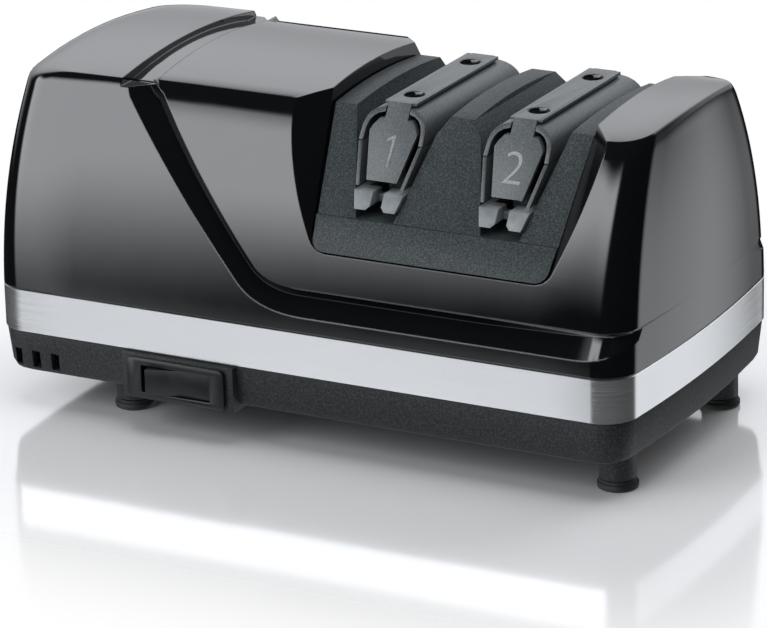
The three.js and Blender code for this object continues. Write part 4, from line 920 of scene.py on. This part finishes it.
def winding_ring(grow, level):
    """A round-cornered ring of [x, y, z] points round the limb, grown outwards."""
    half_x, half_y, radius = limb_half_x + grow, limb_half_y + grow, limb_radius + grow
    points = []
    for cx, cy, start in ((1, -1, -90), (1, 1, 0), (-1, 1, 90), (-1, -1, 180)):
        for i in range(9):
            turn = math.radians(start + 90 * i / 8)
            points.append((
                limb_x + cx * (half_x - radius) + radius * math.cos(turn),
                limb_y + cy * (half_y - radius) + radius * math.sin(turn), level,
            ))
    return points


# The outline of the wound body runs up its outside turn by turn, across its top layer by layer,
# down its bore and back across its foot. Each bump is a share of a pitch and a distance inwards.
low_end, high_end, depth = 45.4, 70.6, 5.55
turn_count, layer_count, valley = 26, 5, 0.42
pitch, layer = (high_end - low_end) / turn_count, depth / layer_count
bumps = ((0.0, valley), (0.2, 0.12), (0.5, 0.0), (0.8, 0.12))
rings = []
for i in range(turn_count):
    rings += [
        winding_ring(depth - back, low_end + pitch * (i + share)) for share, back in bumps
    ]
for i in range(layer_count):
    rings += [
        winding_ring(depth - layer * (i + share), high_end - back) for share, back in bumps
    ]
rings.append(winding_ring(0, high_end - valley))
rings.append(winding_ring(0, low_end + valley))
for i in reversed(range(layer_count)):
    rings += [
        winding_ring(depth - layer * (i + 1 - share), low_end + back)
        for share, back in bumps if share
    ] + [winding_ring(depth - layer * i, low_end + valley)] * (i > 0)
winding = bridged("copper_winding", rings, closed=True)
enamelled_wire, tree, shader, coords = finish(
    "enamelled_copper_wire", 0xA9602F, 0.3, metallic=0.9, coat_weight=0.6, coat_roughness=0.12,
)
tarnish = grain(tree, coords, 2.0, 3.0)
vary(tree, shader.inputs["Base Color"], tarnish, 0x8E4B22, 0xB86B38)
vary(tree, shader.inputs["Roughness"], tarnish, 0.24, 0.38)
fit(winding, "housing", "enamelled_copper", enamelled_wire, "motor_coil")

# Bushes: sintered bronze sleeves soaked in oil, an open dull gold grain 0.2 mm across.
sintered_bronze, tree, shader, coords = finish(
    "oiled_sintered_bronze", 0x9C7B48, 0.42, metallic=0.85,
)
pores = grain(tree, coords, 0.2, 3.0)
relief(tree, shader, pores, 0.5, 0.08)
vary(tree, shader.inputs["Base Color"], pores, 0x6E5430, 0xAD8B55, 0.35, 0.6)
dress(["bush_left", "bush_right", "bush_end"], sintered_bronze, 0.25)

# Cooling fan: natural nylon, ivory and slightly cloudy, with a waxy sheen.
natural_nylon, tree, shader, coords = finish(
    "natural_nylon", 0xCFCBBB, 0.45, 1.53, subsurface_weight=0.15, subsurface_scale=0.002,
)
cloud = grain(tree, coords, 3.0, 3.0)
relief(tree, shader, grain(tree, coords, 0.5), 0.2, 0.05)
vary(tree, shader.inputs["Base Color"], cloud, 0xC4BFAD, 0xD9D5C8)
dress(["cooling_fan"], natural_nylon, 0.25)

# Filings magnet: sintered ferrite, dark grey, dull and finely granular.
ferrite, tree, shader, coords = finish("sintered_ferrite", 0x35373A, 0.55, metallic=0.2)
granules = grain(tree, coords, 0.3, 3.0)
relief(tree, shader, granules, 0.4, 0.06)
vary(tree, shader.inputs["Base Color"], granules, 0x2A2C2E, 0x44474A)
dress(["filings_magnet"], ferrite, 0.3)

# Switch: a snap-in rocker of black nylon in its box, with a frame that shows on the boss. It
# is smoother than the tray, so the frame's edges and the rocker's dish show soft lines.
semi_gloss_nylon, tree, shader, coords = finish(
    "semi_gloss_black_nylon", 0x111314, 0.4, 1.53, specular=0.3,
)
relief(tree, shader, grain(tree, coords, 0.6), 0.25, 0.06)
vary(tree, shader.inputs["Roughness"], grain(tree, coords, 5.0), 0.28, 0.4)
dress(["switch_bezel", "switch_body", "switch_rocker"], semi_gloss_nylon, 0.4)

# Feet and cord inlet: black natural rubber, moulded, dull, with a faint bloom. Each foot is a
# pad with a rim, on a stem that is pulled into the post; the inlet is a ribbed grommet.
matt_rubber, tree, shader, coords = finish(
    "moulded_black_rubber", 0x121314, 0.72, 1.52, specular=0.4,
)
relief(tree, shader, grain(tree, coords, 0.35), 0.5, 0.1)
vary(tree, shader.inputs["Base Color"], grain(tree, coords, 2.0, 3.0), 0x0E0F10, 0x1B1C1D)
foot_left, foot_right, foot_y = -67.4, 95.8, 36.8
foot_profile = [
    (0, 0.5), (3.4, 0.5), (3.9, 0), (5.6, 0), (6.05, 0.2), (6.2, 0.6), (6.2, 1.6), (6.0, 1.9),
    (5.7, 2), (5.6, 2.1), (5.6, 2.8), (5.4, 3), (2, 3), (2, 7.7), (1.7, 8), (0, 8),
]
for name, x, y in (
    ("front_left", foot_left, -foot_y), ("front_right", foot_right, -foot_y),
    ("rear_left", foot_left, foot_y), ("rear_right", foot_right, foot_y),
):
    foot = spun("rubber_foot_" + name, foot_profile, "Z", (x, y, 0))
    fit(foot, "housing", "black_rubber", matt_rubber, "foot_" + name)
inlet_x, inlet_level = -40, 18.7
inlet = spun("cord_grommet", [
    (3.2, 47), (4.4, 47), (4.6, 47.3), (4.6, 54.6), (5.6, 54.6), (5.9, 54.9), (5.9, 56.7),
    (5.6, 57), (5.2, 57.1), (5.2, 57.8), (5.6, 57.9), (5.5, 58.7), (5.1, 58.8), (5.1, 59.5),
    (5.3, 59.6), (5.2, 60.4), (4.8, 60.9), (3.6, 60.97), (3.2, 60.6),
], "Y", (inlet_x, 0, inlet_level))
fit(inlet, "housing", "black_rubber", matt_rubber, "cord_gland")
